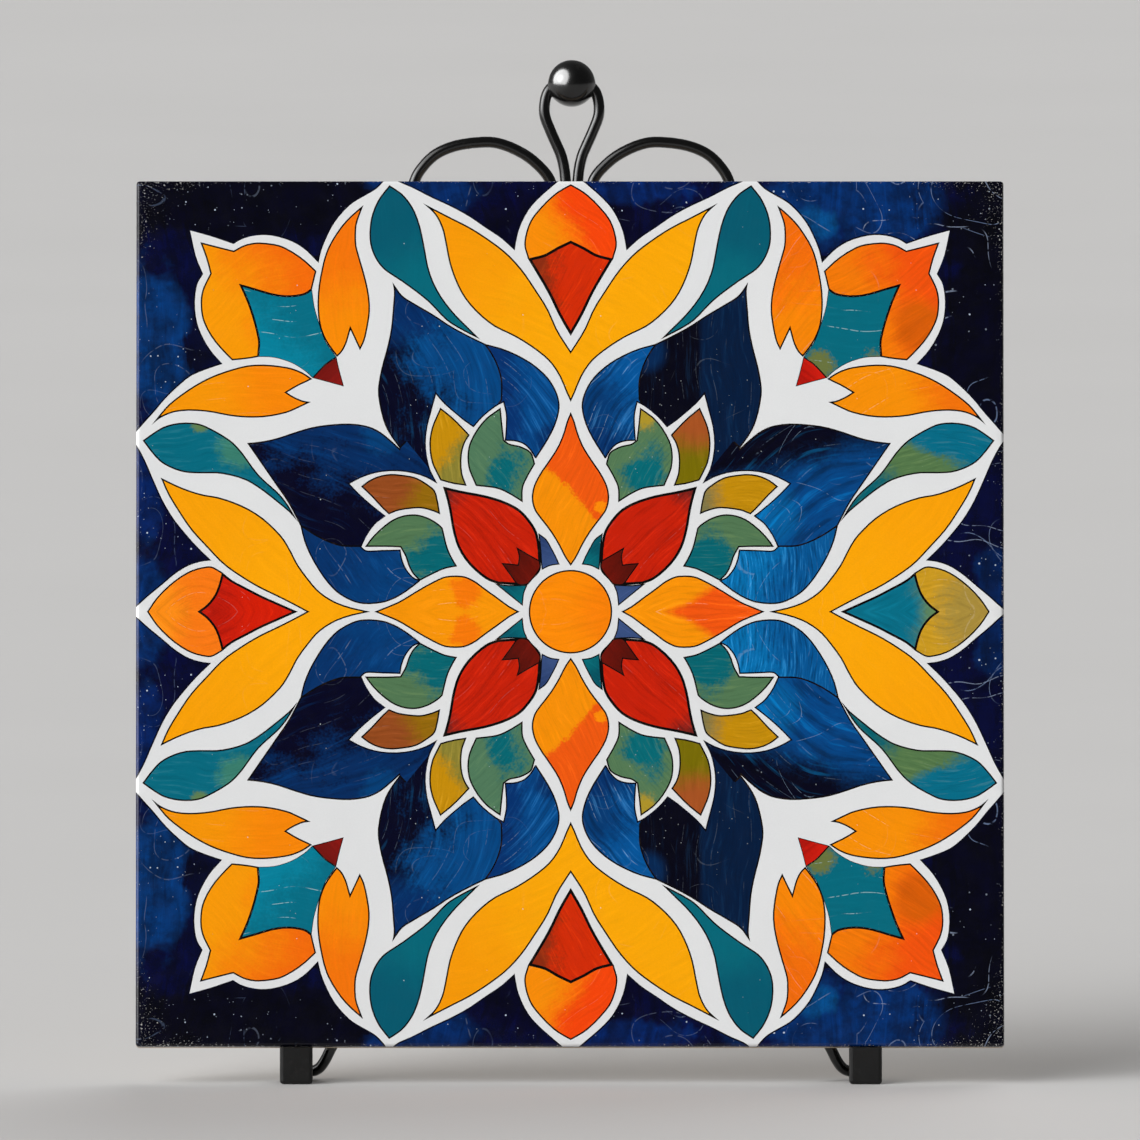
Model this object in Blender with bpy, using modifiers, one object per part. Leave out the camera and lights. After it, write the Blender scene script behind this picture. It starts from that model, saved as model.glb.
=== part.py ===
"""A square ceramic tile standing in a small wire easel.

Units are metres and +Z is up. The tile faces -Y and leans back. The origin is on the table, under the
middle of the whole object. The easel is bent from one gauge of round wire: two legs that hold a ball
between them, two scrolls beside the neck, and a hairpin that props it from behind.
"""

import math

import bmesh
import bpy
from mathutils import Matrix, Vector

# The tile
TILE_SIDE = 0.2032
TILE_THICK = 0.00635
TILE_EDGE_ROUND = 0.0008
TILE_LIFT = 0.0089  # the front lower edge above the table
LEAN = math.radians(10.0)
GROOVE_PITCH = 0.0165
GROOVE_WIDTH = 0.0085
GROOVE_DEPTH = 0.0006
GROOVE_MARGIN = 0.012  # plain border round the grooves of the back

# The wire, and the gap that every pair of touching pieces keeps
WIRE_RADIUS = 0.0013
FIT_GAP = 0.0003
WIRE_SIDES_RESOLUTION = 2
TURN_PER_POINT = math.radians(11.0)
LONGEST_STRETCH = 0.008  # between two points of a wire

# The head of the easel
BALL_RADIUS = 0.0055
BALL_RISE = 0.0237  # its middle above the tile's top edge, along the lean
LOOP_HALF_WIDTH = 0.0064
HEAD_SHIFT = 0.0004  # the hand-bent head stands this far right of the tile's middle
SCROLL_REACH = 0.0382
SCROLL_RISE = 0.0098
SCROLL_DROP = 0.072  # below the tile's top edge, where the scroll meets the leg
SCROLL_TAIL = 0.013  # stretch of the scroll that lies along the neck

# The legs and feet
FEET_SHIFT = 0.00255  # the feet stand this far right of the tile's middle
FOOT_SPREAD = 0.0666  # from the middle of the feet to each one
FOOT_WIDTH = 0.00765
FOOT_DEPTH = 0.0078
FOOT_NOSE = 0.0006  # the foot's front, ahead of the tile's
FOOT_ROUND = 0.0008
LEG_FLARE = 2.45  # power of the curve in which the legs part
LEG_INSET = 0.0080  # the leg's distance inside the foot's middle, at the tile's lower edge
HOOK_BEND = 0.0036  # radius of the bend behind the foot
HOOK_HEIGHT = 0.0022
BORE_DEPTH = 0.0030

# The hairpin behind
PROP_TOP_DROP = 0.020  # its welded ends, below the tile's top edge
PROP_WELD = 0.012
PROP_HALF_WIDTH = 0.011
STAND_DEPTH = 0.0989  # front of the feet to the back of the hairpin

STEM_HALF = WIRE_RADIUS + FIT_GAP / 2
WIRE_BEHIND = TILE_THICK + FIT_GAP + WIRE_RADIUS
PROP_BEHIND = WIRE_BEHIND + 2 * WIRE_RADIUS + FIT_GAP
TOE_Y = FOOT_NOSE - STAND_DEPTH / 2
FOOT_BACK_Y = TOE_Y - FOOT_NOSE + FOOT_DEPTH


def clear_scene():
    for item in list(bpy.data.objects):
        bpy.data.objects.remove(item, do_unlink=True)


def new_collection(name):
    group = bpy.data.collections.new(name)
    bpy.context.scene.collection.children.link(group)
    return group


def new_material(name, color, roughness, metallic):
    material = bpy.data.materials.new(name)
    material.use_nodes = True
    shader = material.node_tree.nodes["Principled BSDF"]
    shader.inputs["Base Color"].default_value = (*color, 1.0)
    shader.inputs["Roughness"].default_value = roughness
    shader.inputs["Metallic"].default_value = metallic
    material.diffuse_color = (*color, 1.0)
    return material


def on_lean(x, up, behind):
    """World point at x, up along the tile from its front lower edge, and behind its face."""
    y = TOE_Y + up * math.sin(LEAN) + behind * math.cos(LEAN)
    z = TILE_LIFT + up * math.cos(LEAN) - behind * math.sin(LEAN)
    return Vector((x, y, z))


def middle_at(up):
    """The easel's middle line: at the feet and at the head it misses the tile's by a little."""
    share = min(max(up / TILE_SIDE, 0.0), 1.0)
    return FEET_SHIFT + (HEAD_SHIFT - FEET_SHIFT) * share


def leg_x(up):
    """Distance of a leg from the easel's middle line, behind the tile."""
    share = min(max(1.0 - up / TILE_SIDE, 0.0), 1.0)
    foot_x = FOOT_SPREAD - LEG_INSET
    return STEM_HALF + (foot_x - STEM_HALF) * share**LEG_FLARE


def leg_slope(up):
    """Sideways run of a leg for each unit of height."""
    step = TILE_SIDE * 0.001
    return (leg_x(up - step) - leg_x(up + step)) / (2 * step)


def through_knots(knots, steps=24):
    """Dense points of a smooth curve through the knots, by centripetal Catmull-Rom."""
    ends = [2 * knots[0] - knots[1], *knots, 2 * knots[-1] - knots[-2]]
    dense = []
    for a, b, c, d in zip(ends, ends[1:], ends[2:], ends[3:]):
        t1 = math.sqrt((b - a).length)
        t2 = t1 + math.sqrt((c - b).length)
        t3 = t2 + math.sqrt((d - c).length)
        for index in range(steps):
            t = t1 + (t2 - t1) * index / steps
            ab = a.lerp(b, t / t1)
            bc = b.lerp(c, (t - t1) / (t2 - t1))
            cd = c.lerp(d, (t - t2) / (t3 - t2))
            abc = ab.lerp(bc, t / t2)
            bcd = bc.lerp(cd, (t - t1) / (t3 - t1))
            dense.append(abc.lerp(bcd, (t - t1) / (t2 - t1)))
    dense.append(knots[-1].copy())
    return dense


def bent_points(knots):
    """Points of a wire: close together in its bends and far apart on its straights."""
    dense = through_knots(knots)
    kept = [dense[0]]
    turned = 0.0
    run = 0.0
    for before, here, after in zip(dense, dense[1:], dense[2:]):
        turned += (here - before).angle(after - here, 0.0)
        run += (here - before).length
        if turned > TURN_PER_POINT or run > LONGEST_STRETCH:
            kept.append(here)
            turned = 0.0
            run = 0.0
    if (kept[-1] - dense[-1]).length < WIRE_RADIUS / 2 and len(kept) > 2:
        kept.pop()
    kept.append(dense[-1])
    return kept


def wire(name, knots, radius, group, material=None):
    curve = bpy.data.curves.new(name, "CURVE")
    curve.dimensions = "3D"
    curve.bevel_depth = radius
    curve.bevel_resolution = WIRE_SIDES_RESOLUTION
    curve.use_fill_caps = True
    points = bent_points(knots)
    spline = curve.splines.new("POLY")
    spline.points.add(len(points) - 1)
    for target, point in zip(spline.points, points):
        target.co = (*point, 1.0)
    spline.use_smooth = True
    if material:
        curve.materials.append(material)
    item = bpy.data.objects.new(name, curve)
    group.objects.link(item)
    return item


def wire_cutter(name, knots, group):
    """A closed mesh round a wire's route, wider than the wire by the gap."""
    curve_item = wire(name + "_route", knots, WIRE_RADIUS + FIT_GAP, group)
    bpy.context.view_layer.update()
    evaluated = curve_item.evaluated_get(bpy.context.evaluated_depsgraph_get())
    mesh = bpy.data.meshes.new_from_object(evaluated)
    shell = bmesh.new()
    shell.from_mesh(mesh)
    bmesh.ops.remove_doubles(shell, verts=shell.verts, dist=0.00001)
    bmesh.ops.recalc_face_normals(shell, faces=shell.faces)
    shell.to_mesh(mesh)
    shell.free()
    item = bpy.data.objects.new(name, mesh)
    item.matrix_world = curve_item.matrix_world
    group.objects.link(item)
    bpy.data.objects.remove(curve_item, do_unlink=True)
    return as_cutter(item)


def as_cutter(item):
    item.hide_render = True
    item.display_type = "WIRE"
    return item


def block(name, low, high, group, material=None):
    """A box between two corners of its own frame."""
    size = [b - a for a, b in zip(low, high)]
    middle = [(a + b) / 2 for a, b in zip(low, high)]
    mesh = bpy.data.meshes.new(name)
    shell = bmesh.new()
    bmesh.ops.create_cube(shell, size=1.0)
    bmesh.ops.scale(shell, vec=size, verts=shell.verts)
    bmesh.ops.translate(shell, vec=middle, verts=shell.verts)
    shell.to_mesh(mesh)
    shell.free()
    if material:
        mesh.materials.append(material)
    item = bpy.data.objects.new(name, mesh)
    group.objects.link(item)
    return item


def round_edges(item, width, segments):
    bevel = item.modifiers.new("rounded_edges", "BEVEL")
    bevel.width = width
    bevel.segments = segments
    bevel.limit_method = "ANGLE"
    return bevel


def cut(item, cutter):
    boolean = item.modifiers.new("cut_" + cutter.name, "BOOLEAN")
    boolean.operation = "DIFFERENCE"
    boolean.solver = "EXACT"
    boolean.object = cutter
    return boolean


def groove_cutter(group, lean_frame):
    """The bars that leave the shallow grooves of the tile's unglazed back."""
    inside = TILE_SIDE - 2 * GROOVE_MARGIN
    count = max(1, math.floor((inside - GROOVE_WIDTH) / GROOVE_PITCH) + 1)
    first = -(count - 1) * GROOVE_PITCH / 2
    depth_out = TILE_THICK  # how far the bars stand out behind the tile
    mesh = bpy.data.meshes.new("tile_groove_bars")
    shell = bmesh.new()
    for index in range(count):
        middle = Vector((first + index * GROOVE_PITCH, TILE_THICK - GROOVE_DEPTH + depth_out / 2, TILE_SIDE / 2))
        bar = bmesh.ops.create_cube(shell, size=1.0, matrix=Matrix.Translation(middle))
        bmesh.ops.scale(
            shell,
            vec=(GROOVE_WIDTH, depth_out, inside),
            space=Matrix.Translation(-middle),
            verts=bar["verts"],
        )
    shell.to_mesh(mesh)
    shell.free()
    item = bpy.data.objects.new("tile_groove_bars", mesh)
    item.parent = lean_frame
    group.objects.link(item)
    return as_cutter(item)


def make_tile(group, cutters, lean_frame, material):
    half = TILE_SIDE / 2
    low = (-half, 0.0, 0.0)
    high = (half, TILE_THICK, TILE_SIDE)
    tile = block("ceramic_tile", low, high, group, material)
    tile.parent = lean_frame
    round_edges(tile, TILE_EDGE_ROUND, 2)
    cut(tile, groove_cutter(cutters, lean_frame))
    return tile


def leg_knots(side):
    """From inside the ball, round the loop and down the neck and leg, into the foot."""
    ball_up = TILE_SIDE + BALL_RISE
    # Share of the half width, and share of the way down from the ball to the tile's top edge
    loop = (
        (0.48, -0.02),
        (0.87, 0.085),
        (1.00, 0.29),
        (0.72, 0.51),
        (0.37, 0.73),
    )
    knots = []
    for across, down in loop:
        up = ball_up - down * BALL_RISE
        knots.append(on_lean(middle_at(up) + side * across * LOOP_HALF_WIDTH, up, WIRE_BEHIND))
    knots.append(on_lean(middle_at(TILE_SIDE) + side * STEM_HALF, TILE_SIDE + 0.05 * BALL_RISE, WIRE_BEHIND))
    for share in (0.97, 0.88, 0.76, 0.64, 0.52, 0.40, 0.28, 0.16, 0.07, 0.003):
        up = TILE_SIDE * share
        knots.append(on_lean(middle_at(up) + side * leg_x(up), up, WIRE_BEHIND))
    # The hook: outwards behind the foot, then round a bend and forwards into its bore
    mouth = Vector((FEET_SHIFT + side * FOOT_SPREAD, FOOT_BACK_Y, HOOK_HEIGHT))
    hook = [
        (LEG_INSET * 0.84, HOOK_BEND * 0.42, TILE_LIFT * 0.530),
        (LEG_INSET * 0.675, HOOK_BEND * 0.70, TILE_LIFT * 0.315),
        (LEG_INSET * 0.51, HOOK_BEND * 0.93, TILE_LIFT * 0.225),
    ]
    for degrees in (15, 50, 90):
        angle = math.radians(degrees)
        inward = HOOK_BEND * (1.0 - math.sin(angle))
        back = HOOK_BEND * math.cos(angle)
        hook.append((inward, back, HOOK_HEIGHT * (0.84 + 0.16 * degrees / 90)))
    for inward, back, height in hook:
        knots.append(Vector((mouth.x - side * inward, mouth.y + back, height)))
    knots.append(mouth - Vector((0.0, BORE_DEPTH, 0.0)))
    return knots


def scroll_knots(side):
    """Up beside the neck, over in an arch, and back down to lie against the leg."""
    beside = 2 * WIRE_RADIUS + FIT_GAP
    start_x = STEM_HALF + beside
    span = SCROLL_REACH - start_x
    # Share of the span outwards, and share of the rise above the tile's top edge
    arch = (
        (0.020, 0.07),
        (0.125, 0.52),
        (0.250, 0.81),
        (0.395, 0.99),
        (0.525, 1.00),
        (0.695, 0.90),
        (0.815, 0.71),
        (0.900, 0.43),
        (0.955, 0.12),
    )
    # Share of the span outwards, and share of the drop below the tile's top edge
    fall = (
        (1.00, 0.08),
        (0.985, 0.24),
        (0.86, 0.42),
        (0.62, 0.59),
        (0.34, 0.74),
    )
    route = []
    for drop in (1.0, 0.5):
        route.append((leg_x(TILE_SIDE - drop * SCROLL_TAIL) + beside, -drop * SCROLL_TAIL))
    for across, rise in arch:
        route.append((start_x + across * span, rise * SCROLL_RISE))
    for across, drop in fall:
        route.append((start_x + across * span, -drop * SCROLL_DROP))
    for drop in (1.0, 1.0 + WIRE_RADIUS * 4 / SCROLL_DROP):
        up = TILE_SIDE - drop * SCROLL_DROP
        aside = beside * math.hypot(1.0, leg_slope(up))
        route.append((leg_x(up) + aside, up - TILE_SIDE))
    knots = []
    for x, rise in route:
        up = TILE_SIDE + rise
        knots.append(on_lean(middle_at(up) + side * x, up, WIRE_BEHIND))
    return knots


def prop_knots():
    """One hairpin: welded end, down to the table, round, and up to the other welded end."""
    weld_up = TILE_SIDE - PROP_TOP_DROP
    bend_up = weld_up - PROP_WELD
    foot_y = STAND_DEPTH / 2 - WIRE_RADIUS
    foot = Vector((middle_at(bend_up), foot_y, WIRE_RADIUS))
    half = []
    for up in (weld_up, (weld_up + bend_up) / 2, bend_up):
        half.append(on_lean(middle_at(up) + STEM_HALF, up, PROP_BEHIND))
    start = half[-1]
    for share, spread in ((0.10, 0.05), (0.30, 0.26), (0.52, 0.52), (0.74, 0.78)):
        point = start.lerp(foot, share)
        point.x = foot.x + STEM_HALF + (PROP_HALF_WIDTH - STEM_HALF) * spread
        half.append(point)
    along = (start - foot).normalized()
    for degrees in (0, 30, 60):
        angle = math.radians(degrees)
        reach = PROP_HALF_WIDTH * (1.0 - math.sin(angle))
        point = foot + along * reach
        point.x = foot.x + PROP_HALF_WIDTH * math.cos(angle)
        half.append(point)
    other = [Vector((2 * foot.x - point.x, point.y, point.z)) for point in half]
    return [*half, foot, *reversed(other)]


def make_ball(group, cutters, material):
    ball_up = TILE_SIDE + BALL_RISE
    mesh = bpy.data.meshes.new("easel_ball")
    shell = bmesh.new()
    bmesh.ops.create_uvsphere(shell, u_segments=24, v_segments=14, radius=BALL_RADIUS)
    shell.to_mesh(mesh)
    shell.free()
    mesh.materials.append(material)
    mesh.shade_smooth()
    ball = bpy.data.objects.new("easel_ball", mesh)
    ball.location = on_lean(middle_at(ball_up), ball_up, WIRE_BEHIND)
    group.objects.link(ball)
    for side, word in ((-1, "left"), (1, "right")):
        ends = leg_knots(side)[:3]
        inner = ends[0] + (ends[0] - ends[1]).normalized() * FIT_GAP
        cut(ball, wire_cutter("ball_socket_" + word, [inner, *ends[1:]], cutters))
    return ball


def make_foot(side, word, group, cutters, lean_frame, material):
    """A block with a flat sole. Its top is cut by the plane that the tile's lower edge rests on."""
    name = "easel_foot_" + word
    middle = FEET_SHIFT + side * FOOT_SPREAD
    front = TOE_Y - FOOT_NOSE
    low = (middle - FOOT_WIDTH / 2, front, 0.0)
    high = (middle + FOOT_WIDTH / 2, front + FOOT_DEPTH, TILE_LIFT + FOOT_WIDTH)
    foot = block(name, low, high, group, material)
    round_edges(foot, FOOT_ROUND, 3)
    room = FOOT_DEPTH + FOOT_WIDTH
    ledge = block(
        name + "_ledge_cut",
        (middle - room, -room, -FIT_GAP),
        (middle + room, 2 * room, 2 * room),
        cutters,
    )
    ledge.parent = lean_frame
    cut(foot, as_cutter(ledge))
    bore = leg_knots(side)[-3:]
    bore[-1] = bore[-1] - Vector((0.0, FIT_GAP, 0.0))
    cut(foot, wire_cutter(name + "_bore", bore, cutters))
    return foot


def make_part():
    clear_scene()
    group = new_collection("tile_on_easel")
    cutters = new_collection("cutters")
    glaze = new_material("cobalt_glaze", (0.012, 0.045, 0.21), 0.22, 0.0)
    enamel = new_material("black_enamel", (0.006, 0.006, 0.007), 0.25, 0.0)
    rubber = new_material("black_rubber", (0.008, 0.007, 0.007), 0.55, 0.0)

    lean_frame = bpy.data.objects.new("lean_frame", None)
    lean_frame.location = (0.0, TOE_Y, TILE_LIFT)
    lean_frame.rotation_euler = (-LEAN, 0.0, 0.0)
    group.objects.link(lean_frame)
    bpy.context.view_layer.update()

    make_tile(group, cutters, lean_frame, glaze)
    make_ball(group, cutters, enamel)
    for side, word in ((-1, "left"), (1, "right")):
        wire("easel_leg_" + word, leg_knots(side), WIRE_RADIUS, group, enamel)
        wire("easel_scroll_" + word, scroll_knots(side), WIRE_RADIUS, group, enamel)
        make_foot(side, word, group, cutters, lean_frame, rubber)
    wire("easel_back_leg", prop_knots(), WIRE_RADIUS, group, enamel)


make_part()
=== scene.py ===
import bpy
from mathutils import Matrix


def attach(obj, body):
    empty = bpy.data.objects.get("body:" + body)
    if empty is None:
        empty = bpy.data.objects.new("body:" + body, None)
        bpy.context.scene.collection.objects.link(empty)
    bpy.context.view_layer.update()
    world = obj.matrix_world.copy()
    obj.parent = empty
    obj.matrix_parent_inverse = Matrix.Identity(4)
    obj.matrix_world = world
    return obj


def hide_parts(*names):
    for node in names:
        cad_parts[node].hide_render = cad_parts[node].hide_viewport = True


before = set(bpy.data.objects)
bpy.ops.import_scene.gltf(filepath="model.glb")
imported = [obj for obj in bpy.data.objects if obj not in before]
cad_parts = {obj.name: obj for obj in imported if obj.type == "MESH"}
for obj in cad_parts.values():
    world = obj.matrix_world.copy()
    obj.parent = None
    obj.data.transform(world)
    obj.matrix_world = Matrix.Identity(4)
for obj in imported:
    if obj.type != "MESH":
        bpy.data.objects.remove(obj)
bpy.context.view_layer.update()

import math

import bmesh
import bpy
from mathutils import Matrix, Vector
from mathutils import noise as wobble
from mathutils.geometry import delaunay_2d_cdt

scene = bpy.context.scene
scene.view_settings.view_transform = "Standard"

# The tile, in metres
tile = {
    "side": 0.2032,
    "thick": 0.00635,
    "edgeRound": 0.0008,
    "roundSteps": 5,
    "lift": 0.0089,  # front lower edge above the ground
    "lean": math.radians(10.0),
    "toeY": 0.0006 - 0.0989 / 2,
    "groovePitch": 0.0165,
    "grooveWidth": 0.0085,
    "grooveDepth": 0.0006,
    "grooveMargin": 0.012,
    "inkWidth": 0.00037,
    "strapShade": 0.00035,  # dark line round the white straps
    "outlineTurn": math.radians(5.0),  # points of a painted outline: the bend between two of them
    "outlineStep": 1.8,  # and their distance at most, in millimetres
    "merging": 0.0001,  # corners closer than this become one, in millimetres
    "sheen": 0.0030,  # what the gloss adds to every colour from the front
    "darkest": 0.0004,  # no paint is darker
}

# Where the tile and the middle of its rosette lie in the photograph, in its pixels
photo = {
    "middleX": 570.0,
    "middleY": 613.3,
    "axisX": 571.5,  # the rosette's middle
    "axisY": 611.7,
    "drift": 0.8,  # the outlines were read this much too far right
    "wide": 868.4,
    "high": 864.7,
}

mmAcross = tile["side"] * 1000 / photo["wide"]
mmUp = tile["side"] * 1000 / photo["high"]
axisShift = Vector((
    (photo["axisX"] - photo["drift"] - photo["middleX"]) * mmAcross,
    (photo["middleY"] - photo["axisY"]) * mmUp,
))


# Small helpers for node trees

def put(tree, kind, inputs=None, **settings):
    node = tree.nodes.new(kind)
    place = len(tree.nodes)
    node.location = (210 * (place % 10), -280 * (place // 10))
    for key, value in settings.items():
        setattr(node, key, value)
    for key, value in (inputs or {}).items():
        feed(tree, node.inputs[key], value)
    return node


def feed(tree, socket, value):
    if isinstance(value, bpy.types.NodeSocket):
        tree.links.new(value, socket)
    else:
        socket.default_value = value


def calc(tree, operation, *values, clamp=False):
    node = put(tree, "ShaderNodeMath", operation=operation, use_clamp=clamp)
    for socket, value in zip(node.inputs, values):
        feed(tree, socket, value)
    return node.outputs[0]


# All the values multiplied
def times(tree, *values):
    product = values[0]
    for value in values[1:]:
        product = calc(tree, "MULTIPLY", product, value)
    return product


def vectorCalc(tree, operation, *values):
    node = put(tree, "ShaderNodeVectorMath", operation=operation)
    for socket, value in zip(node.inputs, values):
        feed(tree, socket, value)
    scalar = operation in ("DOT_PRODUCT", "LENGTH", "DISTANCE")
    return node.outputs["Value" if scalar else "Vector"]


def scaled(tree, vector, factor):
    node = put(tree, "ShaderNodeVectorMath", {"Scale": factor}, operation="SCALE")
    feed(tree, node.inputs[0], vector)
    return node.outputs["Vector"]


def partsOf(tree, vector):
    return put(tree, "ShaderNodeSeparateXYZ", {0: vector}).outputs


def joined(tree, *values):
    return put(tree, "ShaderNodeCombineXYZ", dict(enumerate(values))).outputs[0]


def mixed(tree, factor, first, second):
    node = put(tree, "ShaderNodeMix", data_type="RGBA")
    feed(tree, node.inputs[0], factor)
    feed(tree, node.inputs[6], first)
    feed(tree, node.inputs[7], second)
    return node.outputs[2]


# A smooth step from low to high
def ramped(tree, value, start, end, low=0.0, high=1.0):
    limits = {"Value": value, "From Min": start, "From Max": end, "To Min": low, "To Max": high}
    node = put(tree, "ShaderNodeMapRange", limits, interpolation_type="SMOOTHSTEP")
    return node.outputs["Result"]


def noiseAt(tree, vector, scale, detail=2.0, roughness=0.5):
    made = {"Vector": vector, "Scale": scale, "Detail": detail, "Roughness": roughness}
    return put(tree, "ShaderNodeTexNoise", made).outputs["Fac"]


def newGroup(name, ins, outs, kind="ShaderNodeTree"):
    group = bpy.data.node_groups.new(name, kind)
    for word, socket, start in ins:
        made = group.interface.new_socket(name=word, in_out="INPUT", socket_type="NodeSocket" + socket)
        if start is not None:
            made.default_value = start
    for word, socket in outs:
        group.interface.new_socket(name=word, in_out="OUTPUT", socket_type="NodeSocket" + socket)
    source = group.nodes.new("NodeGroupInput")
    target = group.nodes.new("NodeGroupOutput")
    return group, source.outputs, target.inputs


def use(tree, group, **inputs):
    node = put(tree, "ShaderNodeGroup", node_tree=group)
    for key, value in inputs.items():
        feed(tree, node.inputs[key], value)
    return node.outputs


def newMaterial(name, roughness=0.3, specular=0.3, coat=0.0):
    material = bpy.data.materials.new(name)
    material.use_nodes = True
    tree = material.node_tree
    shader = tree.nodes["Principled BSDF"]
    shader.inputs["Roughness"].default_value = roughness
    shader.inputs["Specular IOR Level"].default_value = specular
    shader.inputs["Coat Weight"].default_value = coat
    place = put(tree, "ShaderNodeTexCoord").outputs["Object"]
    return material, tree, shader, place


def addObject(name, data):
    item = bpy.data.objects.new(name, data)
    scene.collection.objects.link(item)
    return item


# A colour as seen in the photograph, 0 to 255, as a linear one without the sheen that lies over it
def linear(red, green, blue):
    parts = [part / 255 for part in (red, green, blue)]
    parts = [part / 12.92 if part <= 0.04045 else ((part + 0.055) / 1.055) ** 2.4 for part in parts]
    return [max(part - tile["sheen"], tile["darkest"]) for part in parts]


def paint(red, green, blue):
    return (*linear(red, green, blue), 1.0)


# Places on the leaning tile and the easel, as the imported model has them

# World point at x, up along the tile from its front lower edge, and behind its face
def onLean(x, up, behind):
    y = tile["toeY"] + up * math.sin(tile["lean"]) + behind * math.cos(tile["lean"])
    z = tile["lift"] + up * math.cos(tile["lean"]) - behind * math.sin(tile["lean"])
    return Vector((x, y, z))


# Dense points of a smooth curve through the knots
def throughKnots(knots, steps=16):
    ends = [2 * knots[0] - knots[1], *knots, 2 * knots[-1] - knots[-2]]
    dense = []
    for a, b, c, d in zip(ends, ends[1:], ends[2:], ends[3:]):
        t1 = math.sqrt((b - a).length)
        t2 = t1 + math.sqrt((c - b).length)
        t3 = t2 + math.sqrt((d - c).length)
        for index in range(steps):
            t = t1 + (t2 - t1) * index / steps
            ab = a.lerp(b, t / t1)
            bc = b.lerp(c, (t - t1) / (t2 - t1))
            cd = c.lerp(d, (t - t2) / (t3 - t2))
            abc = ab.lerp(bc, t / t2)
            bcd = bc.lerp(cd, (t - t1) / (t3 - t1))
            dense.append(abc.lerp(bcd, (t - t1) / (t2 - t1)))
    dense.append(knots[-1].copy())
    return dense


# Points of that curve: close together in its bends and far apart on its straights
def spacedPoints(knots, turn, stretch):
    dense = throughKnots(knots)
    kept = [dense[0]]
    turned = run = 0.0
    for before, here, after in zip(dense, dense[1:], dense[2:]):
        turned += (here - before).angle(after - here, 0.0)
        run += (here - before).length
        if turned > turn or run > stretch:
            kept.append(here)
            turned = run = 0.0
    if len(kept) > 1 and (kept[-1] - dense[-1]).length < stretch * 0.1:
        kept.pop()
    kept.append(dense[-1])
    return kept


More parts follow.
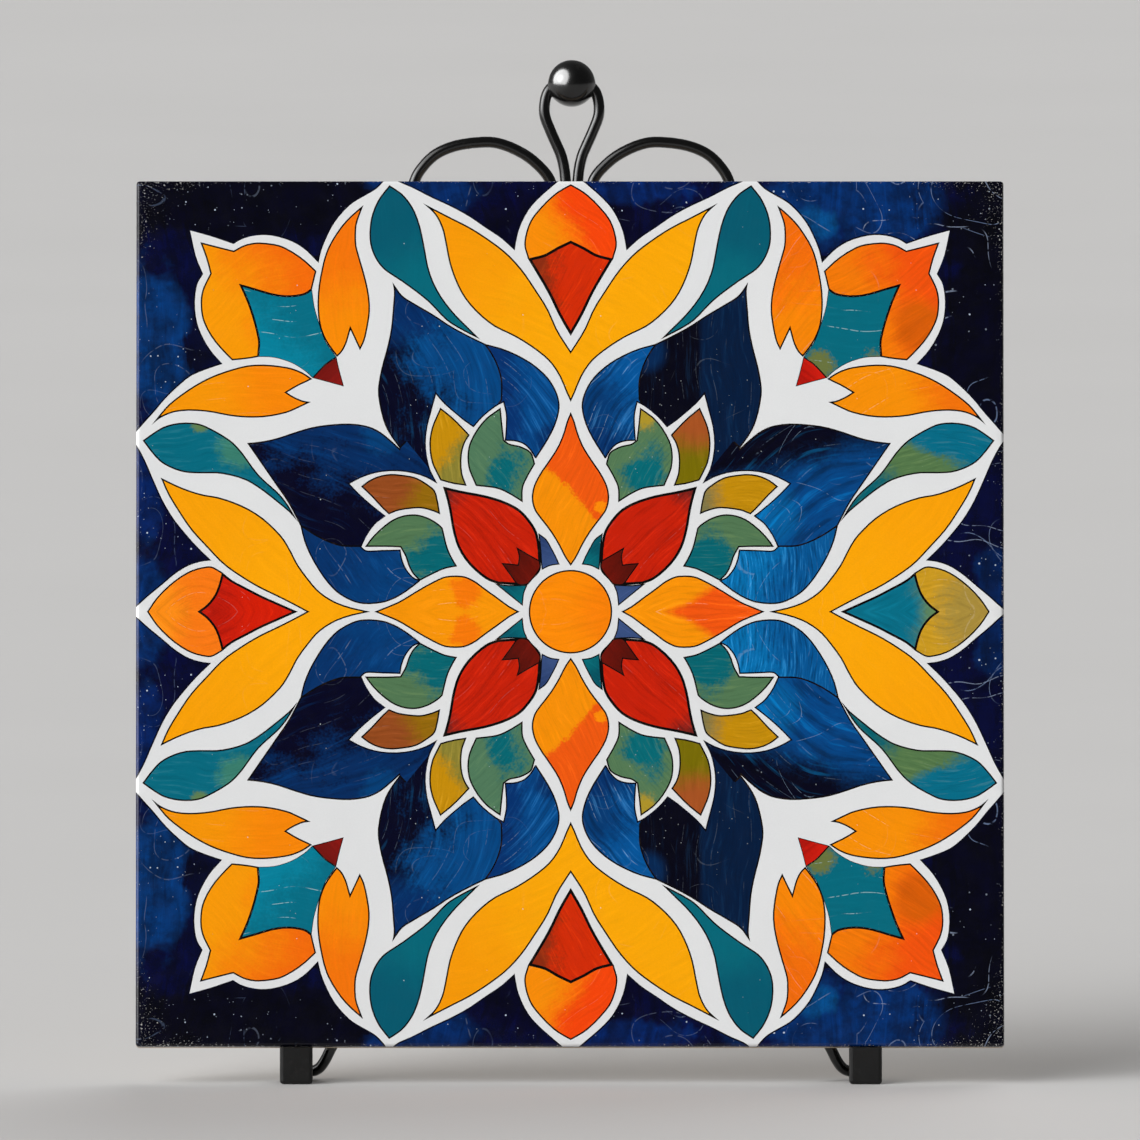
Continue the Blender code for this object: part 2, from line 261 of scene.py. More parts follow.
# The rosette. Each shape is a closed outline in the upper left quarter, in pixels of the photograph: a list
# of smooth runs, each from one corner to the corner where the next one starts.
quarterShapes = {
    "strap": [
        [(571.5, 174)],
        [(563, 178), (550, 189), (541, 197), (532, 206.5), (525, 217.5), (519.5, 230.5), (517, 241)],
        [(515.5, 250.5), (501.5, 238), (486.5, 228), (469, 216), (451.5, 206.5), (431, 197), (413.5, 188),
            (398, 181)],
        [(389.5, 174), (384, 181.5), (376.5, 189), (366.5, 195), (353, 203), (342.5, 213), (334, 224),
            (327.5, 236.5), (322, 250)],
        [(319, 263), (306, 250), (294.5, 242.5), (281, 237.5), (266.5, 235), (253, 236), (241.5, 239.5)],
        [(234, 244), (212, 236.5)],
        [(190.5, 230.5), (196.5, 257)],
        [(203.5, 274), (198, 283.5), (195.5, 297), (195.5, 310), (198, 324.5), (203.5, 338), (211.5, 351)],
        [(223, 364), (206.5, 369.5), (191.5, 376), (180, 385), (165, 399.5), (155, 411.5), (144.5, 423),
            (136, 432.5)],
        [(130, 438), (135.5, 443), (144.5, 458.5), (153.5, 479), (163.5, 501), (174, 518.5), (185.5, 533),
            (197.5, 546.5)],
        [(212, 560.5), (200.5, 562), (188.5, 566), (175.5, 574), (162.5, 585), (149, 596), (135.5, 608)],
        [(130, 611.7)],
        [(571.5, 611.7)],
    ],
    "tealLeafTop": [
        [(390, 185), (379.5, 198.5), (372.5, 214.5), (370, 230.5), (371, 245.5), (376, 258.5), (384, 269),
            (403, 282), (428, 301), (448.5, 321.5), (466, 332)],
        [(481, 339.5), (469, 327.5), (456, 314.5), (444, 299.5), (435.5, 285), (429.5, 269), (426.5, 254),
            (423.5, 238), (420, 223.5), (413.5, 207.5), (403, 194)],
    ],
    "tealLeafSide": [
        [(143, 440.5), (152, 434), (163.5, 427), (175.5, 423.5), (188.5, 422.5), (200.5, 424), (212, 429),
            (231, 440.5), (241.5, 451), (259, 474.5), (281, 495), (290, 507)],
        [(298.5, 522), (290, 512.5), (278, 502.5), (262, 490), (247.5, 481), (232.5, 476), (218, 473.5),
            (200.5, 473.5), (185.5, 472.5), (172.5, 468.5), (161, 462), (152, 452.5)],
    ],
    "innerBlueTop": [
        [(486.5, 344), (504.5, 349), (525, 358.5), (539.5, 368.5), (551, 380.5), (558.5, 395), (560.5, 407),
            (557, 423), (550, 438)],
        [(537, 458.5), (515, 455)],
        [(495, 430), (490, 380)],
    ],
    "innerBlueSide": [
        [(301, 526), (304.5, 540.5), (310.5, 555), (319, 570), (329.5, 584.5), (341, 595), (360, 603.5),
            (382.5, 603), (394.5, 599), (406, 592.5)],
        [(420.5, 581.5), (430, 560)],
        [(400, 535), (350, 535)],
    ],
    "blueTop": [
        [(393, 282), (394.5, 291), (393.5, 307), (391.5, 329), (387.5, 348), (382, 368.5), (378.5, 390),
            (380.5, 407), (385.5, 425), (392, 437)],
        [(400.5, 448.5)],
        [(406, 443.5), (422, 464), (431, 474.5)],
        [(445, 480)],
        [(503, 400), (503, 380.5), (499, 365.5), (492.5, 352.5)],
        [(486.5, 344), (469, 335.5), (451.5, 326), (434, 314.5), (416, 304), (403, 295.5)],
    ],
    "blueSide": [
        [(247.5, 443), (262, 441.5), (278, 438), (296, 432), (313.5, 427), (331, 424.5), (349, 423.5),
            (360.5, 424.5), (371, 427), (381, 432), (390, 439)],
        [(400.5, 448.5)],
        [(406, 443.5), (422, 464), (431, 474.5)],
        [(445, 480)],
        [(420, 530)],
        [(363, 547), (342.5, 546.5), (328, 542), (313.5, 534.5)],
        [(301, 526), (288.5, 502.5), (276.5, 485), (262, 464)],
    ],
    "blueJoin": [
        [(400.8, 448.8)],
        [(407.5, 441.5)],
        [(433, 472.5)],
        [(439, 482)],
        [(424, 481)],
    ],
    "sepalBed": [
        [(436, 391.5), (445.5, 402.5), (457.5, 413), (466, 420)],
        [(474, 425.5), (481, 417.5), (489.5, 410), (498, 404)],
        [(505, 400.5), (508, 414.5), (508, 427.5)],
        [(507, 439.5), (516, 440), (525, 443), (532, 449.5)],
        [(537.5, 458.5)],
        [(545, 560)],
        [(500, 597)],
        [(420.5, 581.5), (413.5, 578.5), (406, 570), (401.5, 559.5)],
        [(400, 551), (381, 551.5), (366, 551.5)],
        [(360.5, 547), (366.5, 534.5), (375, 523)],
        [(384, 516), (372.5, 507), (359, 495)],
        [(348, 483.5), (359, 477.5), (372.5, 472.5), (387, 470), (401.5, 470), (416.5, 472.5), (428, 476.5)],
        [(434.5, 480), (429.5, 470), (426, 455.5), (425, 443.5), (426.5, 427.5), (431, 410)],
    ],
    "sepalTopOuter": [
        [(441, 407.5), (432.5, 427.5), (430, 443.5), (432.5, 462.5)],
        [(441, 480.5), (454, 484)],
        [(467.5, 486), (463, 473), (462.5, 455.5), (465.5, 443.5)],
        [(470.5, 435), (454.5, 418.5)],
    ],
    "sepalTopInner": [
        [(501.5, 407.5), (486.5, 418.5), (475, 433.5), (469, 448), (469, 467)],
        [(476.5, 486), (498.5, 489), (511.5, 495)],
        [(523.5, 502.5), (524, 487.5), (529, 476)],
        [(536, 464), (532, 452.5), (522, 446.5), (510, 443.5)],
        [(505, 440), (503, 423)],
    ],
    "sepalSideOuter": [
        [(361.5, 486.5), (369.5, 480.5), (379.5, 476), (391.5, 474), (404.5, 475), (416.5, 477.5), (428, 484),
            (435.5, 490.5), (438.5, 500)],
        [(441, 514.5), (434, 511.5), (422, 508.5), (410.5, 509), (398.5, 511)],
        [(389.5, 514.5), (382.5, 508), (372.5, 497)],
    ],
    "sepalSideInner": [
        [(365.5, 547), (372.5, 537.5), (382.5, 527.5), (394.5, 519), (406, 515), (417.5, 514.5), (429.5, 518),
            (440, 524.5)],
        [(443.5, 528), (448.5, 548), (453, 558)],
        [(458, 566.5), (445.5, 569), (434, 574)],
        [(420.5, 581), (413.5, 574), (409, 565.5), (406, 556.5)],
        [(401, 547.5), (390, 547), (376.5, 547)],
    ],
    "tulip": [
        [(443.5, 486.5), (463, 491), (486.5, 495.5), (507, 502), (520.5, 509.5), (530.5, 520), (537.5, 531.5),
            (540.5, 545), (541.5, 561), (541, 570.5)],
        [(529, 583.5), (519, 585)],
        [(498.5, 584), (488, 580), (475, 570), (464.5, 558), (457.5, 545), (453, 529), (450, 511), (447, 498)],
    ],
    "tulipStar": [
        [(517, 547), (528, 553.5)],
        [(540.5, 560.5), (541.5, 567), (536.5, 575.5)],
        [(529, 584.5), (519, 585), (510, 574)],
        [(502, 563), (510, 563.5)],
        [(518.5, 564.5), (519.5, 556.5)],
    ],
    "sliverTop": [
        [(539, 533), (547, 539), (552.5, 548), (557, 556.5)],
        [(560.5, 564.5), (551, 566)],
        [(542.5, 570), (541.5, 561), (541, 551)],
    ],
    "sliverSide": [
        [(495.5, 583.5), (508.5, 585)],
        [(528.5, 584.5), (525, 593.5)],
        [(523.5, 606), (516, 600), (506, 592)],
    ],
    "cornerFlower": [
        [(200.5, 242), (212, 245), (224, 248)],
        [(234, 250.5), (244.5, 245), (256, 242.5), (268, 243), (281, 245.5), (293, 251.5), (304.5, 259.5)],
        [(317, 271), (315, 279)],
        [(312.5, 289.5), (306, 294), (294.5, 296.5), (282.5, 296.5), (271, 294.5), (256, 290)],
        [(242, 286), (247.5, 298), (253, 313), (257.5, 329), (260, 342)],
        [(259, 357), (247.5, 359)],
        [(232.5, 360.5), (224, 352), (214.5, 341), (207, 329), (202.5, 317.5), (201, 305.5), (201.5, 295.5),
            (204, 286.5)],
        [(210.5, 273.5), (207, 260), (203.5, 250)],
    ],
    "cornerHeart": [
        [(242, 286), (256, 290), (271, 294.5), (282.5, 296.5), (294.5, 296.5), (306, 294)],
        [(312.5, 289.5), (313.5, 297), (315, 307), (318.5, 319.5), (322, 330.5), (326.5, 342), (332.5, 350.5)],
        [(337, 357), (326.5, 364), (319, 371.5)],
        [(313, 378), (306, 371.5), (297, 365.5), (288.5, 361.5), (276.5, 358), (268, 357)],
        [(259, 357), (260, 342), (257.5, 329), (253, 313), (247.5, 298)],
    ],
    "cornerDart": [
        [(337, 357), (340, 370)],
        [(344.5, 386.5), (328, 382)],
        [(313, 378), (319, 371.5), (326.5, 364)],
    ],
    "wingTop": [
        [(364, 205), (356, 211.5), (347.5, 219.5), (340, 228.5), (329.5, 245.5), (325, 257), (321.5, 272),
            (319, 286.5), (318, 301), (318.5, 316), (320.5, 327.5), (324.5, 338), (329.5, 346.5)],
        [(337.5, 357), (342.5, 352), (347, 343.5)],
        [(351, 330), (355.5, 339.5)],
        [(360.5, 350.5), (365, 341), (368.5, 326), (370.5, 311.5), (370, 298), (367, 282), (363.5, 269),
            (360, 257), (357, 245.5), (356.5, 233.5), (357.5, 223.5)],
    ],
    "wingSide": [
        [(313, 379), (303, 372.5), (291.5, 368), (276.5, 365.5), (262, 364.5), (247.5, 365.5), (230, 370),
            (212, 376.5), (197.5, 384), (183, 393.5), (169, 404.5), (161, 413.5)],
        [(152, 425), (161, 418), (172.5, 413), (184.5, 411), (197.5, 411), (212, 412.5), (230, 416),
            (244.5, 417.5), (262, 417.5), (276.5, 415.5), (290, 412), (300, 407.5)],
        [(311.5, 402), (303, 400.5), (293, 396)],
        [(287.5, 392.5), (298.5, 386), (306, 382.5)],
    ],
}

# Shapes that lie across the upright axis. Each gives its left half, from the axis and back to it.
topShapes = {
    "goldTop": [
        [(571.5, 351), (558.5, 330.5), (548.5, 308.5), (536.5, 289.5), (523.5, 270.5), (508.5, 254),
            (494, 242.5), (472, 228), (451.5, 217.5)],
        [(423.5, 203), (435.5, 214.5), (442.5, 228), (446.5, 245.5), (450, 263), (456, 280.5), (464.5, 297),
            (476.5, 311.5), (494, 326), (516, 337), (535, 349), (550, 361.5), (560, 376), (567.5, 393.5),
            (571.5, 402)],
    ],
    "crestTop": [
        [(571.5, 184), (557, 192.5), (542.5, 206), (530.5, 222), (525, 244)],
        [(528.5, 258.5), (548.5, 292.5), (560, 316), (571.5, 336)],
    ],
    "kiteTop": [
        [(571.5, 240.5), (557, 247.5), (545.5, 254)],
        [(528.5, 258.5), (548.5, 292.5), (560, 316), (571.5, 336)],
    ],
    "budTop": [
        [(571.5, 412), (567.5, 421.5), (564, 433.5), (558.5, 446.5), (550, 460), (541, 473), (534.5, 486),
            (532.5, 498), (535, 509.5), (541, 518.5), (550, 530), (558.5, 543.5), (566, 558), (571.5, 566)],
    ],
}

# Shapes that lie across the level axis. Each gives its upper half.
sideShapes = {
    "goldSide": [
        [(307, 611.7), (291.5, 603.5), (276.5, 596), (259, 587.5), (241.5, 577), (224, 564.5), (206.5, 546.5),
            (191.5, 530), (178.5, 511), (168, 493.5)],
        [(161, 477.5), (174, 484), (188.5, 490), (203.5, 494.5), (218, 497), (232.5, 501.5), (247.5, 508),
            (262, 517), (274, 527.5), (284, 538.5), (291.5, 551), (298.5, 564.5), (307.5, 577), (319, 590.5),
            (332.5, 600), (347, 606), (371, 611.7)],
    ],
    "crestSide": [
        [(298.5, 611.7), (276.5, 602), (262, 595.5), (247.5, 588), (232.5, 580)],
        [(222.5, 572), (212, 566.5), (203.5, 567), (191.5, 570.5), (180, 577), (168, 586.5), (156.5, 598.5),
            (147.5, 611.7)],
    ],
    "kiteSide": [
        [(298.5, 611.7), (276.5, 602), (262, 595.5), (247.5, 588), (232.5, 580)],
        [(222.5, 572), (219.5, 584), (215, 595), (207.5, 604.5), (198, 611.7)],
    ],
    "budSide": [
        [(375, 611.7), (384, 608), (398.5, 602), (410.5, 595), (422, 588), (434, 581.5), (445.5, 576.5),
            (457.5, 575.5), (466, 576.5), (476.5, 581.5), (486.5, 589), (498.5, 597.5), (510, 606),
            (520.5, 611.7)],
    ],
}

hub = {"radius": 42.0}  # the round middle, in pixels

# What each cell is painted with. Paint changes from "ink" to "to" along "fade", a line (x, y, x, y) or a spot
# (x, y, radius), and a third paint, "pool", lies over it at "at". Brush strokes curve round the middle "arc".
# "feel" is how strong strokes, patches and specks are, and "touch" how fine the strokes are, in strokes to a
# millimetre, and how strong are thin lines along them and thin strokes across them.
recipes = {
    "gold": dict(ink=(245, 152, 3), to=(248, 166, 4), fade=(440, 240, 555, 370), arc=(300, 900),
        tint=(255, 196, 50), feel=(0.08, 0.2, 0.3), touch=(0.8, 0.0, 0.1)),
    "goldSide": dict(ink=(246, 159, 3), to=(249, 165, 4), fade=(200, 510, 300, 590), arc=(600, 200),
        tint=(255, 196, 50), feel=(0.06, 0.2, 0.1), touch=(0.8, 0.0, 0.08)),
    "leafTop": dict(ink=(0, 88, 108), to=(0, 102, 118), fade=(385, 230, 400, 290), arc=(200, 250),
        tint=(30, 130, 140), feel=(0.08, 0.3, 0.7), touch=(1.0, 0.0, 0.0)),
    "leafSideLeft": dict(ink=(0, 104, 124), to=(58, 124, 108), fade=(238, 452, 26), pool=(96, 126, 80),
        at=(200, 421, 14), arc=(200, 600), tint=(110, 170, 165), feel=(0.25, 0.9, 0.35),
        touch=(1.2, 0.1, 0.2)),
    "leafSideRight": dict(ink=(0, 106, 132), to=(84, 118, 74), fade=(210, 447, 215, 460), pool=(0, 96, 108),
        at=(283, 500, 46), arc=(200, 600), tint=(140, 140, 80), feel=(0.35, 0.7, 0.2), touch=(1.6, 0.1, 0.0)),
    "innerBlueLeft": dict(ink=(0, 50, 108), to=(0, 74, 136), fade=(505, 400, 540, 395), pool=(0, 48, 100),
        at=(552, 440, 22), arc=(430, 480), tint=(60, 138, 190), feel=(0.75, 0.5, 0.15), touch=(1.0, 0.3, 0.1)),
    "innerBlueRight": dict(ink=(0, 84, 150), to=(0, 58, 112), fade=(498, 380, 550, 410), pool=(0, 50, 104),
        at=(545, 445, 26), arc=(430, 480), tint=(84, 158, 204), feel=(0.85, 0.5, 0.2), touch=(0.8, 0.35, 0.1)),
    "innerSideLeft": dict(ink=(0, 50, 102), to=(0, 62, 118), fade=(330, 560, 400, 590), arc=(470, 480),
        tint=(30, 96, 156), feel=(0.4, 0.5, 0.3), touch=(1.2, 0.35, 0.3)),
    "innerSideRight": dict(ink=(0, 112, 174), to=(0, 84, 144), fade=(410, 570, 345, 590), arc=(700, 560),
        tint=(70, 160, 208), feel=(0.9, 0.5, 0.25), touch=(1.9, 0.1, 0.3)),
    "blueTopLeft": dict(ink=(0, 70, 128), to=(7, 12, 34), fade=(462, 380, 398, 405), pool=(0, 46, 98),
        at=(400, 300, 52), arc=(250, 430), tint=(30, 112, 168), feel=(0.5, 0.7, 0.3), touch=(0.7, 0.15, 0.2)),
    "blueTopRight": dict(ink=(6, 30, 60), to=(10, 11, 24), fade=(438, 400, 445, 400), pool=(0, 40, 80),
        at=(496, 352, 26), arc=(-900, 380), tint=(34, 76, 116), feel=(0.4, 0.1, 1.2), touch=(0.9, 0.1, 0.2)),
    "blueSideLeft": dict(ink=(0, 44, 92), to=(4, 10, 34), fade=(350, 445, 325, 505), pool=(0, 64, 118),
        at=(385, 432, 30), arc=(180, 860), tint=(0, 72, 128), feel=(0.55, 0.9, 0.3), touch=(0.55, 0.1, 0.1)),
    "blueSideRight": dict(ink=(5, 7, 28), to=(0, 68, 128), fade=(347, 446, 336, 484), pool=(0, 92, 152),
        at=(375, 515, 44), arc=(263, 597), tint=(10, 124, 184), feel=(0.95, 0.3, 0.5), touch=(0.5, 0.15, 0.6)),
    "ochre": dict(ink=(196, 140, 14), to=(136, 126, 50), fade=(448, 440, 462, 448), arc=(1400, 300),
        tint=(220, 180, 80), feel=(0.3, 0.9, 0.1), touch=(1.2, 0.0, 0.0)),
    "rustTop": dict(ink=(164, 82, 36), to=(118, 106, 8), fade=(446, 428, 450, 462), arc=(1200, 440),
        tint=(150, 95, 50), feel=(0.25, 0.25, 0.1), touch=(1.2, 0.0, 0.0)),
    "rustSide": dict(ink=(146, 74, 32), to=(146, 104, 16), fade=(400, 490, 425, 500), arc=(400, 900),
        tint=(190, 116, 66), feel=(0.3, 0.5, 0.15), touch=(1.4, 0.1, 0.1)),
    "ochreSide": dict(ink=(192, 138, 14), to=(128, 118, 72), fade=(415, 490, 440, 500), arc=(400, 800),
        tint=(220, 175, 70), feel=(0.3, 0.5, 0.1), touch=(1.4, 0.0, 0.0)),
    "sageLeft": dict(ink=(80, 120, 90), to=(0, 102, 112), fade=(508, 470, 26), arc=(300, 600),
        tint=(140, 150, 80), feel=(0.25, 1.1, 2.4), touch=(1.4, 0.0, 0.0)),
    "sageRight": dict(ink=(84, 120, 84), to=(0, 104, 114), fade=(498, 474, 30), pool=(172, 146, 44),
        at=(500, 416, 16), arc=(300, 600), tint=(150, 150, 70), feel=(0.3, 1.0, 2.2), touch=(1.4, 0.1, 0.0)),
    "sageSide": dict(ink=(82, 118, 82), to=(0, 100, 110), fade=(440, 560, 40), arc=(420, 700),
        tint=(150, 150, 70), feel=(0.3, 0.9, 1.6), touch=(1.4, 0.0, 0.0)),
    "red": dict(ink=(195, 34, 13), to=(100, 34, 30), fade=(468, 508, 448, 490), arc=(212, 823),
        tint=(208, 60, 30), feel=(0.45, 0.4, 0.05), touch=(1.0, 0.1, 0.0)),
    "maroon": dict(ink=(78, 20, 14), to=(104, 22, 14), fade=(505, 560, 535, 575), arc=(212, 823),
        tint=(136, 30, 20), feel=(0.3, 0.3, 0.0), touch=(1.0, 0.0, 0.0)),
    "violet": dict(ink=(44, 64, 108), to=(58, 80, 126), fade=(540, 540, 555, 565), arc=(700, 300),
        tint=(88, 92, 156), feel=(0.3, 0.4, 0.1), touch=(1.4, 0.0, 0.0)),
    "sliverTeal": dict(ink=(0, 84, 98), to=(0, 104, 114), fade=(510, 585, 525, 600), arc=(700, 300),
        tint=(30, 140, 145), feel=(0.3, 0.4, 0.2), touch=(1.4, 0.0, 0.0)),
    "cornerLeft": dict(ink=(246, 152, 8), to=(242, 106, 14), fade=(222, 318, 305, 266), arc=(420, 520),
        tint=(252, 176, 60), feel=(0.08, 0.25, 0.3), touch=(1.4, 0.0, 0.0)),
    "cornerRight": dict(ink=(240, 120, 12), to=(238, 82, 16), fade=(290, 285, 230, 258), pool=(212, 92, 12),
        at=(222, 325, 34), arc=(400, 60), tint=(226, 106, 22), feel=(0.22, 0.3, 0.5), touch=(1.2, 0.0, 0.2)),
    "heartLeft": dict(ink=(0, 108, 130), to=(0, 128, 154), fade=(300, 310, 262, 350), arc=(280, 0),
        tint=(80, 168, 178), feel=(0.12, 0.6, 0.35), touch=(1.2, 0.85, 0.15)),
    "heartRight": dict(ink=(0, 104, 122), to=(104, 114, 62), fade=(322, 366, 17), pool=(100, 112, 66),
        at=(268, 358, 12), arc=(280, 60), tint=(60, 150, 160), feel=(0.1, 1.3, 0.35), touch=(1.2, 0.7, 0.1)),
    "dartLeft": dict(ink=(116, 24, 20), to=(132, 26, 22), fade=(325, 370, 340, 380), arc=(200, 200),
        tint=(120, 14, 16), feel=(0.3, 0.3, 0.0), touch=(1.4, 0.0, 0.0)),
    "dartRight": dict(ink=(200, 30, 18), to=(172, 24, 16), fade=(325, 370, 340, 380), arc=(200, 200),
        tint=(160, 24, 18), feel=(0.3, 0.3, 0.0), touch=(1.4, 0.0, 0.0)),
    "wingTopLeft": dict(ink=(242, 116, 14), to=(246, 138, 7), fade=(345, 250, 345, 330), arc=(520, 280),
        tint=(244, 112, 16), feel=(0.1, 0.4, 0.1), touch=(1.2, 0.0, 0.0)),
    "wingTopRight": dict(ink=(240, 108, 14), to=(246, 134, 8), fade=(345, 250, 335, 330), arc=(650, 0),
        tint=(222, 100, 12), feel=(0.18, 0.4, 0.1), touch=(0.6, 0.3, 0.1)),
    "wingSideLeft": dict(ink=(244, 148, 7), to=(246, 134, 7), fade=(200, 400, 280, 385), arc=(240, 700),
        tint=(252, 176, 60), feel=(0.1, 0.3, 0.15), touch=(1.2, 0.12, 0.0)),
    "wingSideRight": dict(ink=(244, 142, 6), to=(240, 114, 13), fade=(240, 395, 190, 385), arc=(150, 620),
        tint=(252, 184, 70), feel=(0.12, 0.4, 0.2), touch=(0.8, 0.3, 0.12)),
    "crestTop": dict(ink=(246, 140, 12), to=(243, 70, 14), fade=(542, 226, 580, 206), arc=(480, 330),
        tint=(252, 144, 50), feel=(0.15, 0.35, 0.15), touch=(1.2, 0.1, 0.0)),
    "kiteTop": dict(ink=(208, 46, 10), to=(142, 46, 20), fade=(566, 262, 545, 262), arc=(900, 500),
        tint=(236, 96, 20), feel=(0.3, 0.9, 0.1), touch=(1.2, 0.0, 0.0)),
    "crestLeft": dict(ink=(246, 120, 22), to=(250, 140, 24), fade=(200, 585, 165, 605), arc=(200, 640),
        tint=(252, 164, 70), feel=(0.3, 0.5, 0.2), touch=(0.9, 0.25, 0.0)),
    "kiteLeft": dict(ink=(208, 32, 10), to=(186, 28, 14), fade=(250, 600, 215, 600), arc=(200, 640),
        tint=(230, 60, 24), feel=(0.35, 0.4, 0.1), touch=(0.9, 0.15, 0.0)),
    "crestRight": dict(ink=(200, 152, 34), to=(166, 138, 60), fade=(212, 580, 175, 600), arc=(200, 660),
        tint=(225, 186, 100), feel=(0.3, 0.7, 0.5), touch=(1.0, 0.25, 0.3)),
    "kiteRight": dict(ink=(0, 108, 132), to=(98, 132, 86), fade=(236, 600, 207, 597), arc=(320, 480),
        tint=(30, 130, 150), feel=(0.35, 0.35, 0.25), touch=(1.0, 0.1, 0.0)),
    "budTop": dict(ink=(236, 88, 18), to=(244, 142, 11), fade=(571, 486, 566.5, 490.2), pool=(250, 140, 12),
        at=(600, 508, 9), arc=(900, 640), tint=(252, 172, 50), feel=(0.2, 1.7, 0.1), touch=(1.2, 0.0, 0.0)),
    "budSide": dict(ink=(246, 148, 7), to=(244, 120, 12), fade=(468, 590, 20), arc=(440, 760),
        tint=(252, 178, 60), feel=(0.15, 1.0, 0.2), touch=(1.0, 0.3, 0.1)),
    "budRight": dict(ink=(246, 145, 11), to=(240, 86, 18), fade=(479, 609, 474, 618), arc=(440, 760),
        tint=(252, 172, 50), feel=(0.3, 0.35, 0.1), touch=(1.0, 0.3, 0.1)),
    "hub": dict(ink=(250, 138, 6), to=(246, 128, 6), fade=(560, 600, 585, 620), arc=(500, 900),
        tint=(252, 152, 30), feel=(0.15, 0.4, 0.1), touch=(1.2, 0.1, 0.1)),
}

# The order in which the cells are painted over each other: shape, recipe on the left and recipe on the right
paintOrder = [
    ("strap", "white", "white"),
    ("innerBlueTop", "innerBlueLeft", "innerBlueRight"),
    ("innerBlueSide", "innerSideLeft", "innerSideRight"),
    ("blueTop", "blueTopLeft", "blueTopRight"),
    ("blueSide", "blueSideLeft", "blueSideRight"),
    ("blueJoin", "blueSideLeft", "blueSideRight"),
    ("sepalBed", "white", "white"),
    ("tealLeafTop", "leafTop", "leafTop"),
    ("tealLeafSide", "leafSideLeft", "leafSideRight"),
    ("goldTop", "gold", "gold"),
    ("goldSide", "goldSide", "goldSide"),
    ("crestTop", "crestTop", "crestTop"),
    ("kiteTop", "kiteTop", "kiteTop"),
    ("crestSide", "crestLeft", "crestRight"),
    ("kiteSide", "kiteLeft", "kiteRight"),
    ("budTop", "budTop", "budTop"),
    ("budSide", "budSide", "budRight"),
    ("sepalTopOuter", "ochre", "rustTop"),
    ("sepalTopInner", "sageLeft", "sageRight"),
    ("sepalSideOuter", "rustSide", "ochreSide"),
    ("sepalSideInner", "sageSide", "sageSide"),
    ("sliverTop", "violet", "sliverTeal"),
    ("sliverSide", "sliverTeal", "violet"),
    ("tulip", "red", "red"),
    ("tulipStar", "maroon", "maroon"),
    ("cornerFlower", "cornerLeft", "cornerRight"),
    ("cornerHeart", "heartLeft", "heartRight"),
    ("wingTop", "wingTopLeft", "wingTopRight"),
    ("wingSide", "wingSideLeft", "wingSideRight"),
    ("cornerDart", "dartLeft", "dartRight"),
    ("hub", "hub", "hub"),
]

# Ink lines that are wider or narrower than the others: two cells share a line, or the brush was full
inkShare = {
    "tulip": 1.7, "kiteTop": 1.8, "kiteSide": 1.5, "cornerHeart": 0.4, "cornerDart": 0.5, "tulipStar": 0.8,
    "sliverTop": 0.8, "sliverSide": 0.8,
}


# A pixel of the photograph as millimetres from the rosette's middle
def fromAxis(across, down):
    return Vector(((across - photo["axisX"]) * mmAcross, (photo["axisY"] - down) * mmUp))


def runPoints(run, end):
    knots = [fromAxis(*point) for point in (*run, end)]
    return spacedPoints(knots, tile["outlineTurn"], tile["outlineStep"])[:-1]


# The outline with its inside on the left of its way round
def turnedLeft(points):
    area = sum(a.cross(b) for a, b in zip(points, points[1:] + points[:1]))
    return points if area > 0 else points[::-1]


def closedOutline(runs):
    points = []
    for run, following in zip(runs, runs[1:] + runs[:1]):
        points += runPoints(run, following[0])
    return turnedLeft(points)


def foldedOutline(runs, flip):
    half = []
    for index, run in enumerate(runs):
        last = index + 1 == len(runs)
        half += runPoints(run[:-1], run[-1]) if last else runPoints(run, runs[index + 1][0])
    half.append(fromAxis(*runs[-1][-1]))
    other = [Vector((point.x * flip[0], point.y * flip[1])) for point in half[-2:0:-1]]
    return turnedLeft(half + other)


# Distance from a point to a closed outline
def nearest(point, points):
    best = math.inf
    for a, b in zip(points, points[1:] + points[:1]):
        along = b - a
        share = min(max((point - a).dot(along) / along.length_squared, 0.0), 1.0)
        best = min(best, (a + along * share - point).length)
    return best


# The outline moved inwards by the width of the ink line, or outwards by a negative one
def inside(points, width):
    moved = []
    sharpest = 0.06 if width > 0 else 0.5
    for index, here in enumerate(points):
        into = (here - points[index - 1]).normalized()
        out = (points[(index + 1) % len(points)] - here).normalized()
        first = Vector((-into.y, into.x))
        both = (first + Vector((-out.y, out.x))).normalized()
        moved.append(here + both * width / max(both.dot(first), sharpest))
    return [point for point in moved if nearest(point, points) > abs(width) * 0.96]


# A square with half side core, grown by reach with round corners
def roundedSquare(core, reach):
    points = []
    turns = 6 if reach else 0  # points round each corner
    along = 50  # points along each side
    for quarter in range(4):
        turn = Matrix.Rotation(math.radians(90 * quarter), 2)
        for step in range(turns + 1):
            angle = math.radians(-90 + 90 * step / max(turns, 1)) if turns else 0.0
            offset = Vector((math.cos(angle), math.sin(angle))) * reach
            points.append(turn @ (Vector((core, -core)) + offset))
        for step in range(1, along):
            points.append(turn @ Vector((core + reach, -core + 2 * core * step / along)))
    return points


# The right half is drawn a little narrower than the left, most of all at half height
rightHalf = {
    "narrower": 0.011,
    "atTop": 0.005,  # so much more at the top, and less at the bottom
    "atEnds": 0.012,  # so much less at both
    "reach": 70.0,  # from half height to where it changes no more, in millimetres
}


def asDrawn(x, y):
    height = min(max(y / rightHalf["reach"], -1.0), 1.0)
    squeeze = rightHalf["narrower"] + rightHalf["atTop"] * height - rightHalf["atEnds"] * height**2
    return Vector((x * (1.0 - squeeze) if x > 0 else x, y))


